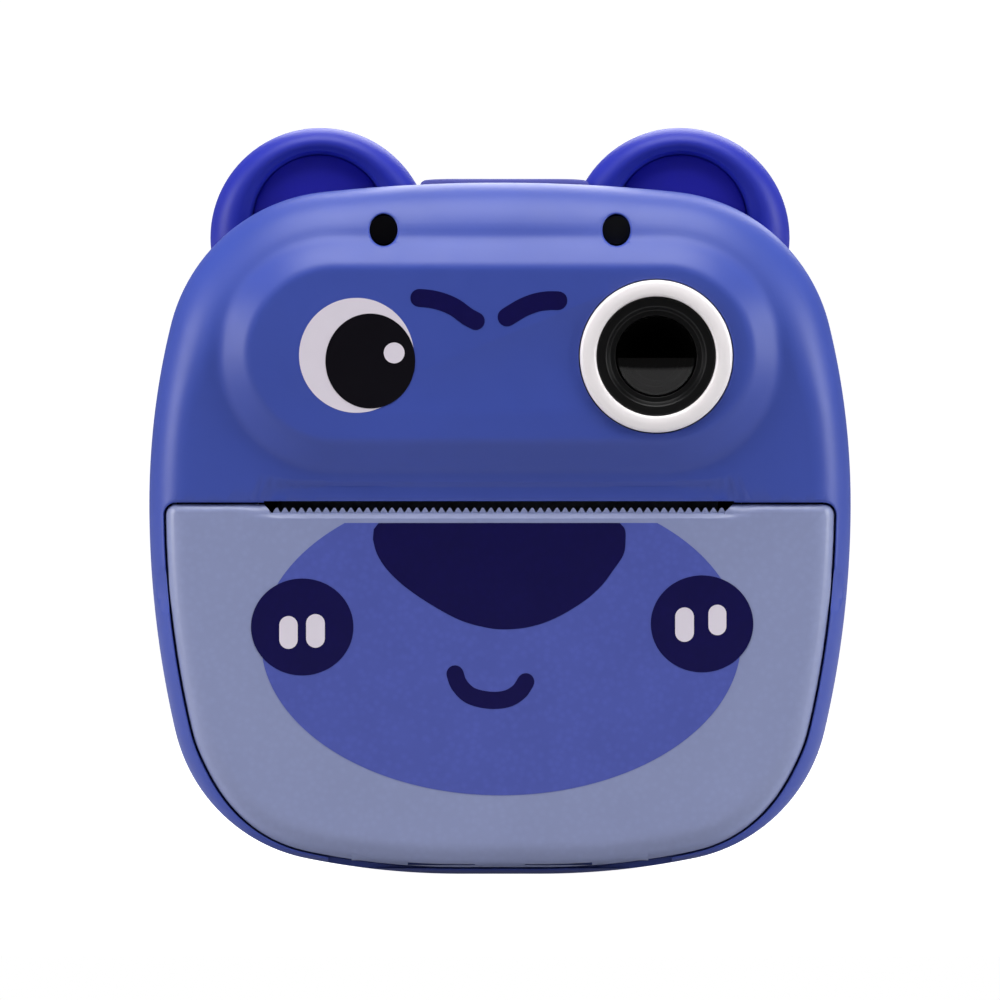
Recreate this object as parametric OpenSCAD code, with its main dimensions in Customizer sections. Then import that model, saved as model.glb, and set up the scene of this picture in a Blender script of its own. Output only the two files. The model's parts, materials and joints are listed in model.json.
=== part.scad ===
// Kids instant-print camera with a bear face: front -Y, up +Z, origin under the middle of the body.

/* [Body] */
// Width of the body at its widest
body_width = 90; // [80:0.5:100]
// Height of the shell at the middle of its top
body_height = 88.7; // [80:0.1:95]
// Front plane of the body, measured from the middle of its depth
front_depth = 20; // [16:0.1:24]
// Rear plane of the body, measured from the middle of its depth
rear_depth = 22.5; // [18:0.1:26]
// Plane where the two shells meet
split_y = 3; // [0:0.5:6]
// Wall thickness of the shells
wall = 2; // [1.6:0.1:2.6]
// Height of the widest point
widest_z = 47.5; // [40:0.5:55]
// Radius of the top edge seen from the front
top_radius = 215; // [150:5:300]
// Radius of the upper corners
upper_corner = 22.5; // [16:0.5:26]
// Radius of the lower corners
lower_corner = 21.5; // [16:0.5:26]
// Radius of the upper sides
upper_side_radius = 97; // [80:1:140]
// Radius of the lower sides
lower_side_radius = 129; // [100:1:180]
// Radius of the bottom edge seen from the front
bottom_radius = 100; // [70:1:140]
// Half width of the flat strip the body stands on
foot_half = 5; // [2:0.5:10]

/* [Ears] */
// Radius of each ear
ear_radius = 14.2; // [10:0.1:18]
// Distance of each ear from the middle
ear_x = 23.2; // [18:0.1:30]
// Height of the ear centres
ear_z = 81.8; // [76:0.1:86]
// Thickness of each ear
ear_depth = 12; // [6:0.5:16]
// Radius of the hollow in each ear
ear_hollow = 8.9; // [6:0.1:11]

/* [Eye platform] */
// Height of the platform's middle
platform_z = 66.55; // [60:0.05:72]
// Half height of the platform's flat face
platform_radius = 11.65; // [8:0.05:14]
// Half distance between the platform's round ends
platform_half = 21; // [16:0.1:26]
// How far the platform stands out of the front
platform_height = 2.5; // [1:0.1:4]
// Distance of the lens from the middle
lens_x = 19.95; // [16:0.05:24]
// Height of the lens
lens_z = 66.3; // [60:0.05:72]
// Outer radius of the lens ring
ring_radius = 9.75; // [7:0.05:12]
// Inner radius of the lens ring
ring_inner = 7.6; // [5:0.05:9]
// Radius of the lens glass
glass_radius = 5.2; // [3:0.1:7]

/* [Printer door] */
// Height of the door's top edge
door_top = 47.4; // [44:0.1:50]
// Height of the door's edge under its teeth
door_lip = 45.8; // [43:0.1:47]
// Gap all round the door
door_gap = 0.3; // [0.2:0.05:0.5]
// Sideways place of the balls that make the finger notches beside the door
finger_x = 52.3; // [50:0.1:54]
// Depth place of the balls that make the finger notches
finger_y = -24.8; // [-27:0.1:-23]
// Height of the finger notches
finger_z = 35.4; // [25:0.2:42]
// Radius of the balls that make the finger notches
finger_radius = 12; // [10:0.5:14]
// Distance of the hinge axis behind the front plane
hinge_in = 2.5; // [2:0.1:4]
// Height of the hinge axis
hinge_z = 3.4; // [3:0.1:5]
// Radius of the hinge pin
hinge_pin_radius = 0.6; // [0.4:0.05:0.8]

/* [Printer] */
// Half width of the paper slot
slot_half = 30; // [28:0.5:32]
// Number of teeth on the tear edge
cutter_teeth = 55; // [30:1:60]
// Height of a tooth on the tear edge
tooth_height = 0.65; // [0.4:0.05:0.9]
// Radius of a full paper roll
roll_radius = 12.5; // [10:0.5:15]
// Width of the paper roll
roll_width = 57; // [57:0.5:58]
// Radius of the rubber feed roller
feed_radius = 4.25; // [3.5:0.05:5]
// Height of the feed roller's axis
feed_z = 40.9; // [40:0.1:42]
// Position of the feed roller's axis in depth
feed_y = -12.7; // [-14:0.1:-11]
// Slope of the print head in degrees
head_slope = 16; // [12:0.5:20]
// Gear module
gear_module = 0.5; // [0.4:0.1:0.6]
// Teeth on the feed roller's gear
feed_teeth = 18; // [16:1:20]
// Teeth on the middle gear
middle_teeth = 26; // [24:1:28]
// Teeth on the motor's gear
motor_teeth = 12; // [10:1:14]

/* [Rear] */
// Height of the screen's middle
screen_z = 60.5; // [56:0.5:62]
// Width of the screen window
window_width = 51; // [46:0.5:54]
// Height of the screen window
window_height = 41; // [36:0.5:44]
// Height of the middle key
keys_z = 21.5; // [18:0.5:24]
// Distance from the middle key to the arrow keys
keys_pitch = 9.5; // [8.5:0.1:11]
// How far the keys stand out of the rear
key_proud = 1; // [0.6:0.1:1.5]
// Travel of a key
key_travel = 0.4; // [0.3:0.05:0.6]

/* [Hidden] */
$fn = 48;
tiny = 0.01;
half_width = body_width / 2;
yf = -front_depth;
yr = rear_depth;
case_blue = "royalblue";
pale_blue = "lightsteelblue";
metal = "silver";
dark = "dimgray";

// Outline of the body seen from the front: arcs that run into each other
function touching(c0, R0, c1, R1, r, up) =
  let(d = norm(c1 - c0), a = ((R0 - r) * (R0 - r) - (R1 - r) * (R1 - r) + d * d) / (2 * d),
      h = sqrt((R0 - r) * (R0 - r) - a * a), u = (c1 - c0) / d, n = [-u[1], u[0]],
      p = c0 + u * a + n * h, q = c0 + u * a - n * h)
  (up * p[1] > up * q[1]) ? p : q;
function heading(v) = atan2(v[1], v[0]);
top_centre = [0, body_height - top_radius];
side_up = [half_width - upper_side_radius, widest_z];
side_low = [half_width - lower_side_radius, widest_z];
bottom_centre = [foot_half, bottom_radius];
corner_up = touching(top_centre, top_radius, side_up, upper_side_radius, upper_corner, 1);
corner_low = touching(side_low, lower_side_radius, bottom_centre, bottom_radius, lower_corner, -1);
// Each arc: centre, radius, first angle, last angle, steps
arcs = [
  [top_centre, top_radius, 90, heading(corner_up - top_centre), 5],
  [corner_up, upper_corner, heading(corner_up - top_centre), heading(corner_up - side_up), 10],
  [side_up, upper_side_radius, heading(corner_up - side_up), 0, 6],
  [side_low, lower_side_radius, 0, heading(corner_low - side_low), 6],
  [corner_low, lower_corner, heading(corner_low - side_low), heading(corner_low - bottom_centre), 9],
  [bottom_centre, bottom_radius, heading(corner_low - bottom_centre), -90, 5]
];
right_half = concat([for (a = arcs) for (i = [0 : a[4] - 1]) [a[0], a[1], a[2] + (a[3] - a[2]) * i / a[4]]],
  [[bottom_centre, bottom_radius, -90]]);
count_half = len(right_half);
stations = concat(right_half, [for (i = [count_half - 1 : -1 : 1])
  [[-right_half[i][0][0], right_half[i][0][1]], right_half[i][1], 180 - right_half[i][2]]]);
count = len(stations);
function at(s, inset) = s[0] + (s[1] - inset) * [cos(s[2]), sin(s[2])];
function outline(inset) = [for (s = stations) at(s, inset)];
function ramp(z, a, b) = let(t = max(0, min(1, (z - a) / (b - a)))) t * t * (3 - 2 * t);
// How far the rounding reaches in from the outline, and how deep it is, at a height
function front_reach(z) = 4 + ramp(z, 0, 12) + 5 * ramp(z, 58, 86);
function front_round(z) = 6 + ramp(z, 0, 20) + 2 * ramp(z, 58, 86);
function rear_reach(z) = 4 + 2 * ramp(z, 58, 86);
function rear_round(z) = 5;

steps = 7;
// One ring of the skin: plane y at angle a of the rounding, on the front (side -1) or the rear (side 1)
function skin_ring(side, in, a) = [for (s = stations) let(z = at(s, 0)[1],
    reach = side < 0 ? front_reach(z) : rear_reach(z), deep = side < 0 ? front_round(z) : rear_round(z),
    less = in > 0 ? 1.2 : 0, p = at(s, in + (reach - less) * (1 - cos(a))),
    y = (side < 0 ? front_depth : rear_depth) - in - (deep - less) * (1 - sin(a)))
  [p[0], side * y, p[1]]];
function flat_ring(in, y) = [for (s = stations) let(p = at(s, in)) [p[0], y, p[1]]];
// Triangles between ring a and ring b
function band(a, b) = [for (i = [0 : count - 1]) let(j = (i + 1) % count)
  each [[a * count + i, b * count + i, b * count + j], [a * count + i, b * count + j, a * count + j]]];

// Open cup: one half of the body with its wall
module cup(side) {
  outer = concat([flat_ring(0, split_y)], [for (k = [0 : steps]) skin_ring(side, 0, 90 * k / steps)]);
  inner = concat([flat_ring(wall, split_y)], [for (k = [0 : steps]) skin_ring(side, wall, 90 * k / steps)]);
  rings = concat(outer, inner);
  m = steps + 2;
  faces = concat(
    [for (k = [0 : m - 2]) each band(k, k + 1)],
    [[for (i = [0 : count - 1]) (m - 1) * count + i]],
    [for (k = [m : 2 * m - 2]) each band(k + 1, k)],
    [[for (i = [count - 1 : -1 : 0]) (2 * m - 1) * count + i]],
    band(m, 0));
  turned = side < 0 ? faces : [for (f = faces) [for (i = [len(f) - 1 : -1 : 0]) f[i]]];
  polyhedron([for (r = rings) each r], turned);
}

// A flat shape drawn in x and z, made solid from y0 to y1
module slab(y0, y1) {
  translate([0, y1, 0])
    rotate([90, 0, 0])
      linear_extrude(y1 - y0)
        children();
}

module box(x, y, z) {
  translate([x[0], y[0], z[0]])
    cube([x[1] - x[0], y[1] - y[0], z[1] - z[0]]);
}

module rod_x(r, x0, x1, y, z) {
  translate([x0, y, z])
    rotate([0, 90, 0])
      cylinder(r = r, h = x1 - x0);
}

module rod_y(r, y0, y1, x, z) {
  translate([x, y0, z])
    rotate([-90, 0, 0])
      cylinder(r = r, h = y1 - y0);
}

module rod_z(r, z0, z1, x, y) {
  translate([x, y, z0])
    cylinder(r = r, h = z1 - z0);
}

module capsule(half, r) {
  for (s = [-1, 1])
    translate([s * half, 0])
      circle(r = r);
  square([2 * half, 2 * r], center = true);
}

module rounded(w, h, r) {
  square([w - 2 * r, h], center = true);
  square([w, h - 2 * r], center = true);
  for (sx = [-1, 1])
    for (sz = [-1, 1])
      translate([sx * (w / 2 - r), sz * (h / 2 - r)])
        circle(r = r);
}

// ---- Derived positions ----
hinge_y = yf + hinge_in;
hinge_sweep = hinge_in;
knuckle_radius = 1.6;
knuckle_relief = 1.85;
hinge_half = 19.5;
platform_y = yf - platform_height;
ring_y = platform_y - 1;
recess_depth = 0.4;
recess_z = 47.9;
recess_radius = 2.1;
slot_top = 47.8;
cheek_in = 31;
cheek_out = 32.5;
gear_near = 33;
gear_far = 36;
roll_y = -4;
roll_z = 19;
core_radius = 6;
core_bore = 5;
feed_pitch = gear_module * feed_teeth / 2;
middle_pitch = gear_module * middle_teeth / 2;
motor_pitch = gear_module * motor_teeth / 2;
middle_dir = -6;
motor_dir = 50;
middle_y = feed_y + (feed_pitch + middle_pitch) * cos(middle_dir);
middle_z = feed_z + (feed_pitch + middle_pitch) * sin(middle_dir);
motor_y = middle_y + (middle_pitch + motor_pitch) * cos(motor_dir);
motor_z = middle_z + (middle_pitch + motor_pitch) * sin(motor_dir);
motor_radius = 7.5;
shaft_radius = 1.5;
bush_radius = 2.5;
fit_gap = 0.03;
paper_gap = 0.06;
post_x = 33.5;
upper_post_z = 74;
low_post_x = 24;
low_post_z = 8.5;
board_y = 15;
board_thick = 1.2;
button_x = 0.6;
button_y = -4.6;
button_half = 6.9;
button_radius = 4;
button_top = 89.3;
socket_z = 50;
card_z = 49;
hook_z = 32.8;
small_hole = 1.9;
small_hole_x = 14.9;
small_hole_z = 82.5;
key_side_x = 24;
mode_z = 30;
play_z = 15;
speaker_x = 29;
speaker_z = 17;
battery_x = 0;
battery_z = 64;
strap_low = 57;
strap_high = 69;

// Door outline: the body's outline drawn in, cut off at its top edge
function door_inset(z) = 0.95 + 1.25 * ramp(z, 0, 14);
function door_outline(less) = [for (s = stations) at(s, door_inset(at(s, 0)[1]) + less)];
module door_shape(less) {
  intersection() {
    polygon(door_outline(less));
    translate([-60, -1])
      square([120, door_top + 1 - less]);
  }
}

// Straight walls of the platform, with sloping edges
module platform_shape(top_r, foot_r, top_y, foot_y) {
  side = [[0, -foot_y], [foot_r, -foot_y], [(top_r * 2 + foot_r) / 3 + 0.7, -top_y - 0.6],
    [top_r + 0.35, -top_y - 0.1], [top_r - 0.6, -top_y], [0, -top_y]];
  translate([0, 0, platform_z])
    rotate([90, 0, 0]) {
      for (s = [-1, 1])
        translate([s * platform_half, 0, 0])
          rotate_extrude()
            polygon(side);
      rotate([90, 0, 90])
        translate([0, 0, -platform_half])
          linear_extrude(2 * platform_half)
            polygon(concat(side, [for (i = [len(side) - 2 : -1 : 1]) [-side[i][0], side[i][1]]]));
    }
}

module finger_cuts() {
  for (s = [-1, 1])
    translate([s * finger_x, finger_y, finger_z])
      sphere(r = finger_radius, $fn = 64);
}

module four_posts() {
  for (s = [-1, 1]) {
    translate([s * post_x, upper_post_z])
      children();
    translate([s * low_post_x, low_post_z])
      children();
  }
}

// ---- Case ----
module front_shell() {
  color(case_blue)
    difference() {
      union() {
        difference() {
          cup(-1);
          slab(yf - 1, yf + wall + 1.1)
            door_shape(-door_gap);
          box([-60, 60], [yf - 1, yf + 0.9], [door_top - 1, door_top - 0.5]);
        }
        platform_shape(platform_radius, platform_radius + 3.4, platform_y, yf + 0.1);
        for (s = [-1, 1]) {
          rod_y(2.8, yf + wall - 0.4, 14.5, s * post_x, upper_post_z);
          rod_y(2.6, yf + wall - 0.4, -16.7, s * 37, 50.5);
        }
      }
      platform_shape(platform_radius - 2.6, platform_radius + 1, platform_y + wall, yf + wall + 0.5);
      rod_y(ring_radius + 0.15, yf - 5, yf + 3, lens_x, lens_z);
      for (s = [-1, 1]) {
        rod_y(small_hole, yf - 3, -14, s * small_hole_x, small_hole_z);
        rod_y(0.96, -10, 15, s * post_x, upper_post_z);
        rod_y(0.7, -19, -16, s * 37, 50.5);
      }
      slab(yf - 1, yf + 5)
        translate([-slot_half - 0.2, door_top - 2])
          square([2 * slot_half + 0.4, slot_top - door_top + 2]);
      slab(yf - 1, yf + recess_depth)
        translate([0, recess_z])
          capsule(slot_half - 0.4, recess_radius);
      box([-22, 22], [yf, hinge_y + hinge_sweep + 0.15], [0.75, 7]);
      box([-24.6, 24.6], [-17, -16.3], [2.5, 4.2]);
      finger_cuts();
      translate([button_x, button_y, 80])
        linear_extrude(20)
          capsule(button_half + 0.15, button_radius + 0.15);
      for (s = [-1, 1])
        box([s * ear_x - 6.1, s * ear_x + 6.1], [-1.6, split_y + 1], [80, 90]);
    }
}

module back_shell() {
  color(case_blue)
    difference() {
      union() {
        cup(1);
        slab(split_y - 1.6, split_y + 1.5)
          difference() {
            polygon(outline(wall + 0.05));
            polygon(outline(wall + 1.1));
          }
        slab(split_y, split_y + 1.5)
          difference() {
            polygon(outline(wall - 0.3));
            polygon(outline(wall + 0.5));
          }
        slab(14.8, yr - wall + 0.4)
          four_posts()
            circle(r = 2.8);
        intersection() {
          box([-44, -37.9], [6.4, 13.6], [56.4, 69.6]);
          slab(0, 20)
            polygon(outline(0.3));
        }
      }
      slab(yr - 1.05, yr + 1)
        translate([0, screen_z])
          rounded(window_width, window_height, 3);
      slab(yr - 4, yr + 1)
        translate([0, screen_z])
          rounded(44, 33, 1);
      slab(14, 19.9)
        four_posts()
          circle(r = 1.1);
      slab(19.9, yr + 1)
        four_posts()
          circle(r = 2.2);
      key_places(0.15, yr - 4, yr + 1);
      for (i = [0 : 5])
        rod_y(0.8, yr - 4, yr + 1, speaker_x + 3.6 * cos(60 * i), speaker_z + 3.6 * sin(60 * i));
      rod_y(0.8, yr - 4, yr + 1, speaker_x, speaker_z);
      box([-47, -39.4], [8, 12], [strap_low + 1, strap_high - 1]);
      strap_rod();
      box([40, 47], [11.6, 15.2], [socket_z - 4.8, socket_z + 4.8]);
      box([44, 47], [7.2, 17.2], [socket_z - 7, socket_z + 7]);
      box([-47, -40], [12.7, 14.7], [card_z - 6, card_z + 6]);
      for (s = [-1, 1]) {
        box([s * ear_x - 6.1, s * ear_x + 6.1], [1, 5.7], [80, 90]);
        box([s * 37 - 4, s * 37 + 4], [1, split_y - tiny], [46, 55]);
      }
      box([-16, 20], [1, split_y - tiny], [84, 88]);
    }
}

module ear(s) {
  half = ear_depth / 2;
  ball = (ear_hollow * ear_hollow + 1.3 * 1.3) / 2.6;
  difference() {
    translate([s * ear_x, 2, ear_z])
      rotate([90, 0, 0])
        rotate_extrude($fn = 64) {
          translate([0, -half])
            square([ear_radius - 3, ear_depth]);
          translate([0, -half + 3])
            square([ear_radius, ear_depth - 6]);
          for (k = [-1, 1])
            translate([ear_radius - 3, k * (half - 3)])
              circle(r = 3, $fn = 32);
        }
    translate([s * (ear_x + 0.1), 2 - half - ball + 1.3, ear_z + 2.1])
      sphere(r = ball, $fn = 64);
    slab(-6, 12)
      polygon(outline(-0.05));
  }
  box([s * ear_x - 6, s * ear_x + 6], [-1.5, 5.6], [84.2, 89.5]);
  box([s * ear_x - 5, s * ear_x + 5], [-3, 7], [82.4, 84.25]);
}

module left_ear() {
  color(case_blue)
    ear(-1);
}

module right_ear() {
  color(case_blue)
    ear(1);
}

module case_screws() {
  color(metal)
    slab(18.5, 19.9)
      four_posts()
        circle(r = 0.94);
  color(metal)
    slab(6, 18.6)
      four_posts()
        circle(r = 0.94);
  color(metal)
    difference() {
      slab(19.9, 21.2)
        four_posts()
          circle(r = 2);
      slab(20.6, 22)
        four_posts() {
          square([2.4, 0.5], center = true);
          square([0.5, 2.4], center = true);
        }
    }
}

// ---- Printer chassis ----
module side_panel_shape() {
  intersection() {
    polygon(outline(wall + 1.6));
    translate([cheek_in, 0])
      square([20, 53]);
  }
}

module cheek() {
  difference() {
    union() {
      box([cheek_in, cheek_out], [-15.2, 12], [4, 54.2]);
      rod_x(9, 29.2, cheek_in + tiny, roll_y, roll_z);
      rod_x(core_bore - 0.07, 26.5, cheek_in, roll_y, roll_z);
    }
    rod_x(bush_radius + 0.05, 28, 34, feed_y, feed_z);
    translate([28, 0, 0])
      rotate([90, 0, 90])
        linear_extrude(6)
          polygon([[feed_y, feed_z - bush_radius - 0.05], [-16, feed_z - bush_radius - 0.05],
            [-16, feed_z + bush_radius + 0.7], [feed_y, feed_z + bush_radius + 0.05]]);
  }
}

module chassis() {
  color("darkslategray")
    difference() {
      union() {
        for (s = [0, 1])
          mirror([s, 0, 0])
            slab(-16.6, -15.15)
              side_panel_shape();
        intersection() {
          union() {
            cheek();
            mirror([1, 0, 0])
              cheek();
            box([-cheek_out, cheek_out], [-14.6, 12], [4, 5.2]);
            box([-cheek_out, cheek_out], [9.2, 10.4], [4, 33]);
          }
          slab(-20, 20)
            polygon(outline(wall + 1.3));
        }
        box([-cheek_out, cheek_out], [-14.6, -4], [53, 54.2]);
        for (s = [-1, 1]) {
          box([s * 7.5 - 4, s * 7.5 + 4], [-17.5, -14], [3.4, 5.2]);
          rod_x(knuckle_radius, s * 7.5 - 4, s * 7.5 + 4, hinge_y, hinge_z);
          rod_y(2.8, 10.3, 14.5, s * low_post_x, low_post_z);
          rod_y(2.2, 10.3, board_y, s * 15, 30.5);
          box([s * 29.9 - 1.2, s * 29.9 + 1.2], [pivot_y - 1.2, pivot_y + 1.2], [pivot_z - 1.4, 53.1]);
        }
      }
      rod_x(hinge_pin_radius, -15, 15, hinge_y, hinge_z);
      for (s = [-1, 1]) {
        rod_y(0.96, 5, 15, s * low_post_x, low_post_z);
        rod_y(0.7, 9, 16, s * 15, 30.5);
        rod_y(0.8, -18, -14, s * 37, 50.5);
        box([s * 39 - 1.3, s * 39 + 1.3], [-18, -14], [hook_z - 0.6, hook_z + 3.6]);
        rod_x(0.82, s * 29.5 - 1.4, s * 29.5 + 1.4, pivot_y, pivot_z);
      }
      box([-37.6, -cheek_in + 0.1], [-18, -15.1], [34.6, 47.2]);
      box([cheek_in - 0.1, 34], [-18, -15.1], [37.8, 44.6]);
      rod_x(1.2, -34, -30, middle_y, middle_z);
      rod_x(3.9, -34, -30, motor_y, motor_z);
    }
}

module chassis_screws() {
  color(metal)
    for (s = [-1, 1]) {
      rod_y(0.68, -18.2, -15, s * 37, 50.5);
      rod_y(1.6, -15.1, -14.1, s * 37, 50.5);
    }
}

module hinge_pin() {
  color(metal)
    rod_x(hinge_pin_radius, -hinge_half + 0.5, hinge_half - 0.5, hinge_y, hinge_z);
}

module tear_edge() {
  pitch = 2 * (slot_half - 0.9) / cutter_teeth;
  x0 = -slot_half + 0.9;
  root = door_lip + 0.5;
  color(pale_blue)
    slab(yf + 0.9, yf + 1.5)
      polygon(concat([[-x0, door_lip], [x0, door_lip]],
        [for (i = [0 : cutter_teeth - 1]) each
          [[x0 + i * pitch, root], [x0 + (i + 0.5) * pitch, root + tooth_height]]],
        [[-x0, root]]));
}

// ---- Lens ----
module lens_ring() {
  color("white")
    translate([lens_x, 0, lens_z])
      rotate([90, 0, 0])
        rotate_extrude($fn = 72) {
          translate([ring_inner, -yf - 2])
            square([ring_radius - ring_inner, 5]);
          translate([ring_inner + 0.5, -yf])
            square([ring_radius - ring_inner - 1, 3.5]);
          for (r = [ring_inner + 0.5, ring_radius - 0.5])
            translate([r, -ring_y - 0.5])
              circle(r = 0.5, $fn = 24);
        }
}

module lens_barrel() {
  color(dark)
    translate([lens_x, 0, lens_z])
      rotate([90, 0, 0])
        rotate_extrude($fn = 72)
          polygon([[glass_radius + 0.02, 22.2], [6.3, 22.2], [6.3, 22.7], [ring_inner - 0.03, 22.9],
            [ring_inner - 0.03, 17.9], [11, 17.9], [11, 16.6], [6.4, 16.6], [6.4, 8.5],
            [3, 8.5], [3, 20.8], [glass_radius + 0.02, 20.8]]);
}

module lens_glass() {
  ball = 16;
  color("black", 0.5)
    translate([lens_x, 0, lens_z])
      rotate([90, 0, 0])
        rotate_extrude($fn = 72)
          polygon(concat([[0, 20.8], [glass_radius, 20.8]],
            [for (k = [6 : -1 : 0]) let(r = glass_radius * k / 6) [r, 22.4 - ball + sqrt(ball * ball - r * r)]]));
}

module camera_board() {
  color("darkgreen")
    box([lens_x - 9, lens_x + 9], [-7.9, -6.9], [lens_z - 9, lens_z + 9]);
}

module image_sensor() {
  color(dark)
    box([lens_x - 2.8, lens_x + 2.8], [-8.5, -7.9], [lens_z - 2.8, lens_z + 2.8]);
}

module camera_cable() {
  color("peru")
    translate([24, 0, 0])
      rotate([90, 0, 90])
        linear_extrude(5)
          polygon([[-6.9, 60], [-6.7, 60], [-1, 54.9], [board_y - 0.6, 47], [board_y, 45], [board_y, 44],
            [board_y - 0.2, 44], [board_y - 0.9, 46.8], [-1.2, 54.6], [-6.9, 59.6]]);
}

module status_light() {
  color("red")
    rod_y(small_hole - 0.1, -18.4, -13.4, -small_hole_x, small_hole_z);
}

module microphone() {
  color(dark)
    rod_y(small_hole - 0.1, -16.6, -12.4, small_hole_x, small_hole_z);
}

// ---- Boards and power ----
module main_board() {
  color("darkgreen")
    slab(board_y, board_y + board_thick)
      difference() {
        intersection() {
          union() {
            translate([-38, 34])
              square([76, 47]);
            translate([-30, 8.5])
              square([51, 26]);
            translate([20, 26])
              square([9, 9]);
          }
          polygon(outline(wall + 1.5));
        }
        four_posts()
          circle(r = 3.6);
        for (s = [-1, 1]) {
          translate([s * 15, 30.5])
            circle(r = 0.9);
          translate([s * 27, 62])
            circle(r = 0.9);
        }
      }
}

module board_screws() {
  color(metal)
    for (p = [[-15, 30.5], [15, 30.5], [-27, 62], [27, 62]]) {
      rod_y(0.68, 11, 16.3, p[0], p[1]);
      rod_y(1.5, board_y + board_thick, 17.2, p[0], p[1]);
    }
}

module bracket() {
  color("darkslategray")
    difference() {
      union() {
        box([-35.5, 35.5], [4.4, 5.6], [66, 76.5]);
        box([-20, 20], [4.4, 5.6], [56.5, 82.2]);
        box([button_x - 8.5, button_x + 8.5], [button_y - 5, 5], [77.8, 78.95]);
        for (s = [-1, 1])
          rod_y(2.2, 4.4, board_y, s * 27, 62);
        box([-29, 29], [4.4, 5.6], [60, 67]);
        for (x = [battery_x - 20, battery_x + 18.8])
          box([x, x + 1.2], [5, 10], [64, 80]);
      }
      for (s = [-1, 1]) {
        rod_y(2.85, 0, 8, s * post_x, upper_post_z);
        rod_y(0.7, 9, 16, s * 27, 62);
      }
    }
}

module battery() {
  color("silver")
    box([battery_x - 18, battery_x + 18], [5.7, 10.7], [battery_z - 20, battery_z + 20]);
}

module battery_leads() {
  color("red")
    for (x = [8, 10.5]) {
      rod_y(0.5, 10.7, board_y, x, 79);
      rod_y(0.9, board_y - 2.5, board_y, x, 79);
    }
}

module display() {
  color(dark)
    slab(18, 20.4)
      translate([0, screen_z])
        square([47, 38], center = true);
}

module display_cable() {
  color("peru")
    translate([-7, 0, 0])
      rotate([90, 0, 90])
        linear_extrude(14)
          polygon([[18.4, 41.5], [18.6, 41.5], [18.6, 38.4], [17.9, 37], [16.2, 36.2], [16.2, 36.4],
            [17.7, 37.2], [18.4, 38.5]]);
}

module display_window() {
  color("black", 0.6)
    slab(yr - 1.05, yr)
      translate([0, screen_z])
        rounded(window_width - 0.3, window_height - 0.3, 2.85);
}

module speaker() {
  color(dark)
    union() {
      rod_y(6.5, 17.6, 20.4, speaker_x, speaker_z);
      rod_y(4, 15.6, 17.7, speaker_x, speaker_z);
    }
}

module usb_socket() {
  color(metal)
    difference() {
      box([36.2, 43.4], [11.8, board_y], [socket_z - 4.5, socket_z + 4.5]);
      box([38.2, 44], [12.2, board_y - 0.4], [socket_z - 4.1, socket_z + 4.1]);
      for (k = [-1, 1])
        box([35, 36.2 + tiny], [11, 16], [socket_z + k * 6, socket_z + k * 6 + 1]);
    }
  color(dark)
    box([38, 42.8], [13.1, 13.7], [socket_z - 3.3, socket_z + 3.3]);
}

module card_socket() {
  color(metal)
    difference() {
      box([-42.6, -28.6], [12.6, board_y], [card_z - 6.6, card_z + 6.6]);
      box([-43, -29.2], [13, 14.4], [card_z - 5.7, card_z + 5.7]);
    }
}

module memory_card() {
  color(dark)
    box([-44.2, -29.4], [13.2, 14.2], [card_z - 5.5, card_z + 5.5]);
}

module strap_rod() {
  rod_z(0.8, strap_low, strap_high, -41.3, 10);
}

module strap_bar() {
  color(metal)
    strap_rod();
}

module motor() {
  color(metal)
    union() {
      rod_x(motor_radius, -30, -18.5, motor_y, motor_z);
      rod_x(3.8, -32.3, -29.9, motor_y, motor_z);
    }
}

module switches() {
  color(dark)
    for (p = key_spots) {
      box([p[0] - 2.2, p[0] + 2.2], [board_y + board_thick, 18], [p[1] - 2.2, p[1] + 2.2]);
      rod_y(1.1, 17.9, 18.6, p[0], p[1]);
    }
}

module shutter_switch() {
  color(dark)
    union() {
      box([button_x - 6, button_x + 6], [button_y - 4, button_y + 4], [79, 80.2]);
      box([button_x - 3, button_x + 3], [button_y - 3, button_y + 3], [80.1, 83]);
      rod_z(1.5, 82.9, 83.8, button_x, button_y);
    }
}

module middle_post() {
  color(metal)
    rod_x(1.2, -gear_far - 0.6, -cheek_in - 0.2, middle_y, middle_z);
}

// ---- Gears ----
backlash = 0.12;
function rolled(rb, t) = rb * [cos(t) + t * PI / 180 * sin(t), sin(t) - t * PI / 180 * cos(t)];
function roll_at(rb, r) = sqrt(max(0, (r / rb) * (r / rb) - 1)) * 180 / PI;
module gear_shape(teeth, start) {
  rp = gear_module * teeth / 2;
  rb = rp * cos(20);
  ra = rp + gear_module * 0.95;
  rf = rp - gear_module * 1.2;
  tp = roll_at(rb, rp);
  lean = heading(rolled(rb, tp));
  half_tooth = 90 / teeth - backlash / rp * 90 / PI;
  low = max(rb, rf);
  flank = [for (k = [0 : 3]) let(r = low + (ra - low) * k / 3, p = rolled(rb, roll_at(rb, r)))
    [norm(p), heading(p) - lean - half_tooth]];
  polygon([for (i = [0 : teeth - 1]) let(mid = start + i * 360 / teeth) each concat(
    [[rf * cos(mid + flank[0][1]), rf * sin(mid + flank[0][1])]],
    [for (f = flank) [f[0] * cos(mid + f[1]), f[0] * sin(mid + f[1])]],
    [for (k = [3 : -1 : 0]) [flank[k][0] * cos(mid - flank[k][1]), flank[k][0] * sin(mid - flank[k][1])]],
    [[rf * cos(mid - flank[0][1]), rf * sin(mid - flank[0][1])]])]);
}

// Gear in the plane beside the left cheek
module gear_at(teeth, start, y, z, bore) {
  translate([-gear_far, y, z])
    rotate([90, 0, 90])
      linear_extrude(gear_far - gear_near)
        difference() {
          gear_shape(teeth, start);
          circle(r = bore);
        }
}

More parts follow.
